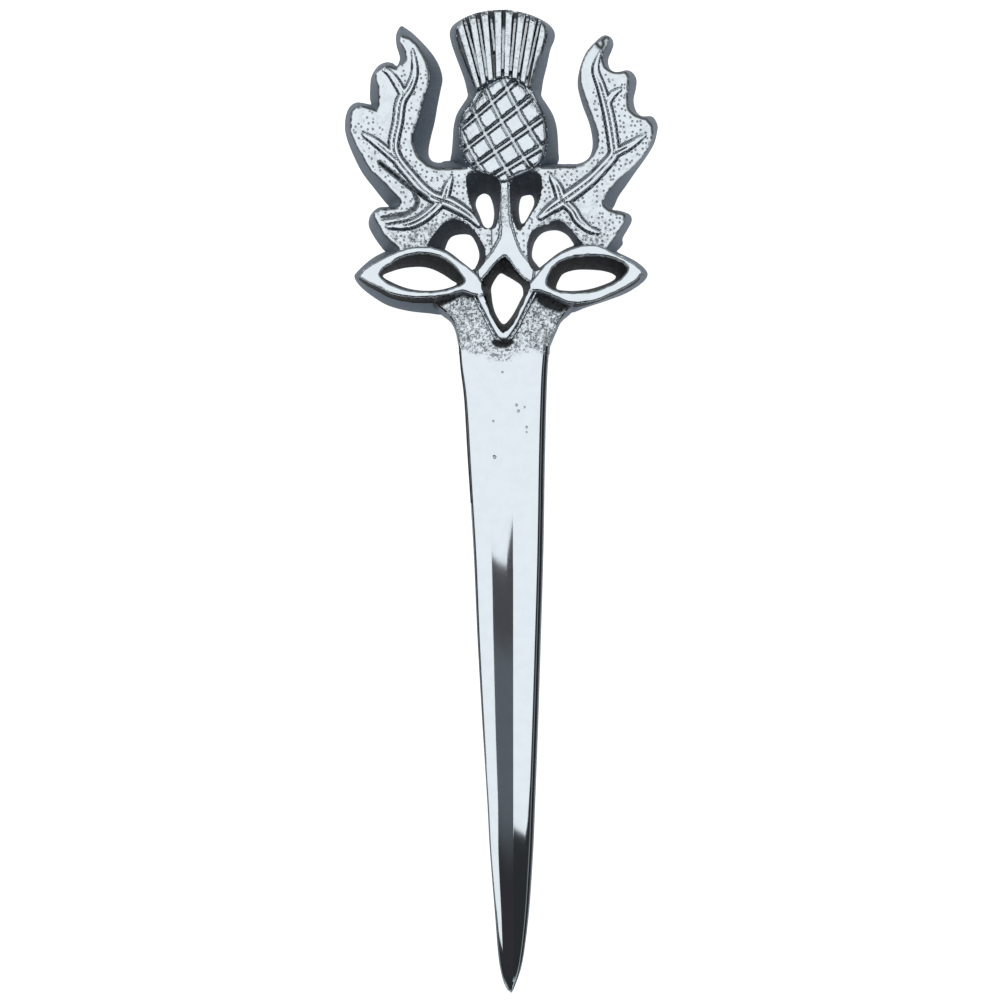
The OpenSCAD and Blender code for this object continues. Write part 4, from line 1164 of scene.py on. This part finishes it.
def card_material():
    """Dark card, greyer below the neck's reflection and darkest towards the blade's point."""
    n = Nodes("dark_card")
    down = n.add("ShaderNodeSeparateXYZ", i0=n.place()).outputs["Y"]
    tone = n.blend(n.ramp(down, -0.055, -0.075), (0.06, 0.055, 0.06, 1), (0.1, 0.11, 0.12, 1))
    tone = n.blend(n.ramp(down, -0.12, -0.165), tone, (0.02, 0.014, 0.018, 1))
    n.feed(n.shader.inputs["Base Color"], tone)
    n.shader.inputs["Roughness"].default_value = 0.9
    return n.material


def stage_plate(name, outline, height, material):
    """A flat plate of the stage: its outline in x and y at one height."""
    mesh = bpy.data.meshes.new(name)
    mesh.from_pydata([(x, y, height) for x, y in outline], [], [tuple(range(len(outline)))])
    mesh.materials.append(material)
    plate = bpy.data.objects.new(name, mesh)
    bpy.context.scene.collection.objects.link(plate)


def panel(name, place, width, depth, power):
    """A soft light of this width and depth at place, which faces straight down."""
    data = bpy.data.lights.new(name, "AREA")
    data.shape, data.size, data.size_y, data.energy = "RECTANGLE", width, depth, power
    lamp = bpy.data.objects.new(name, data)
    bpy.context.scene.collection.objects.link(lamp)
    lamp.location = place
    lamp.rotation_euler = Vector((0, 0, -1)).to_track_quat("-Z", "Y").to_euler()


def studio_walls(scene):
    """Pale surroundings, brightest low down and fading with height."""
    world = scene.world or bpy.data.worlds.new("studio")
    scene.world = world
    world.use_nodes = True
    tree = world.node_tree
    sky = tree.nodes["Background"]
    sky.inputs["Color"].default_value = (0.9, 0.95, 1.0, 1.0)
    place = tree.nodes.new("ShaderNodeTexCoord")
    parts = tree.nodes.new("ShaderNodeSeparateXYZ")
    fade = tree.nodes.new("ShaderNodeMapRange")
    for socket, value in zip(fade.inputs[1:5], WALLS_FADE):
        socket.default_value = value
    tree.links.new(place.outputs["Generated"], parts.inputs[0])
    tree.links.new(parts.outputs["Z"], fade.inputs[0])
    tree.links.new(fade.outputs[0], sky.inputs["Strength"])


def overhead_camera(scene, s):
    """The photograph's eye: straight over the pin, a little right of its middle."""
    eye = Vector((EYE_X, 0.0, s.back_gap + EYE_H))
    back = (eye - Vector((AIM_X, 0.0, s.back_gap))).normalized()
    across = Vector((0, 1, 0)).cross(back).normalized()
    data = bpy.data.cameras.new("camera")
    data.lens, data.sensor_width, data.clip_start = LENS, 36.0, 0.01
    camera = bpy.data.objects.new("camera", data)
    scene.collection.objects.link(camera)
    turn = Matrix((across, back.cross(across), back)).transposed().to_4x4()
    camera.matrix_world = Matrix.Translation(eye) @ turn
    scene.camera = camera


class KILTPIN_OT_casting(bpy.types.Operator):
    """Casts the thistle, the leaves, the loops and the blade in one piece and plates it"""

    bl_idname = "kiltpin.casting"
    bl_label = "Casting"

    def execute(self, context):
        s, finish = context.scene.kilt_pin_sizes, context.scene.kilt_pin_finish
        whole = cast_casting(s)
        mark_points(s, whole.data)
        mark_faces(s, whole.data)
        lift(whole.data, s.back_gap)
        shade(whole.data, math.radians(38))
        whole.data.materials.clear()
        whole.data.materials.append(plated_material(s, finish))
        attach(whole, "root")
        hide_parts("casting")
        print("casting_front:", sum(len(p.vertices) - 2 for p in whole.data.polygons), "triangles")
        return {"FINISHED"}


class KILTPIN_OT_back_pin(bpy.types.Operator):
    """Gives the hinge foot, the pin and the catch their drawn steel"""

    bl_idname = "kiltpin.back_pin"
    bl_label = "Back Pin"

    def execute(self, context):
        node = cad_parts["back_pin"]
        steel = steel_material(context.scene.kilt_pin_finish)
        if not node.material_slots:
            node.data.materials.append(steel)
        for place in node.material_slots:
            place.material = steel
        return {"FINISHED"}


class KILTPIN_OT_stage(bpy.types.Operator):
    """Lays a pale floor under the pin, and sets the soft studio light and the camera above it"""

    bl_idname = "kiltpin.stage"
    bl_label = "Stage"

    def execute(self, context):
        scene = context.scene
        corners = [(x * FLOOR_REACH, y * FLOOR_REACH) for x, y in ((-1, -1), (1, -1), (1, 1), (-1, 1))]
        stage_plate("floor", corners, 0.0, floor_material(scene.kilt_pin_finish))
        stage_plate("camera_card", CARD, CARD_HEIGHT, card_material())
        for row in PANELS:
            panel(*row)
        studio_walls(scene)
        scene.view_settings.view_transform = "Standard"
        overhead_camera(scene, scene.kilt_pin_sizes)
        return {"FINISHED"}


class KILTPIN_PT_panel(bpy.types.Panel):
    """Sizes, colours and steps of the kilt pin"""

    bl_idname = "KILTPIN_PT_panel"
    bl_label = "Kilt Pin"
    bl_space_type = "VIEW_3D"
    bl_region_type = "UI"
    bl_category = "Kilt Pin"

    def draw(self, context):
        """Lists the sizes, the colours and the steps."""
        for group in (context.scene.kilt_pin_sizes, context.scene.kilt_pin_finish):
            box = self.layout.box()
            for key in group.__annotations__:
                box.prop(group, key)
        for operator in STEPS:
            self.layout.operator(operator.bl_idname)


STEPS = (KILTPIN_OT_casting, KILTPIN_OT_back_pin, KILTPIN_OT_stage)
CLASSES = (KiltPinSizes, KiltPinFinish, *STEPS, KILTPIN_PT_panel)


def register():
    """Registers the classes and gives the scene its settings."""
    for cls in CLASSES:
        bpy.utils.register_class(cls)
    bpy.types.Scene.kilt_pin_sizes = bpy.props.PointerProperty(type=KiltPinSizes)
    bpy.types.Scene.kilt_pin_finish = bpy.props.PointerProperty(type=KiltPinFinish)


def unregister():
    """Takes the settings and the classes away again."""
    del bpy.types.Scene.kilt_pin_finish
    del bpy.types.Scene.kilt_pin_sizes
    for cls in reversed(CLASSES):
        bpy.utils.unregister_class(cls)


def main():
    """Builds everything in order."""
    register()
    bpy.ops.kiltpin.casting()
    bpy.ops.kiltpin.back_pin()
    bpy.ops.kiltpin.stage()


if __name__ == "__main__":
    main()
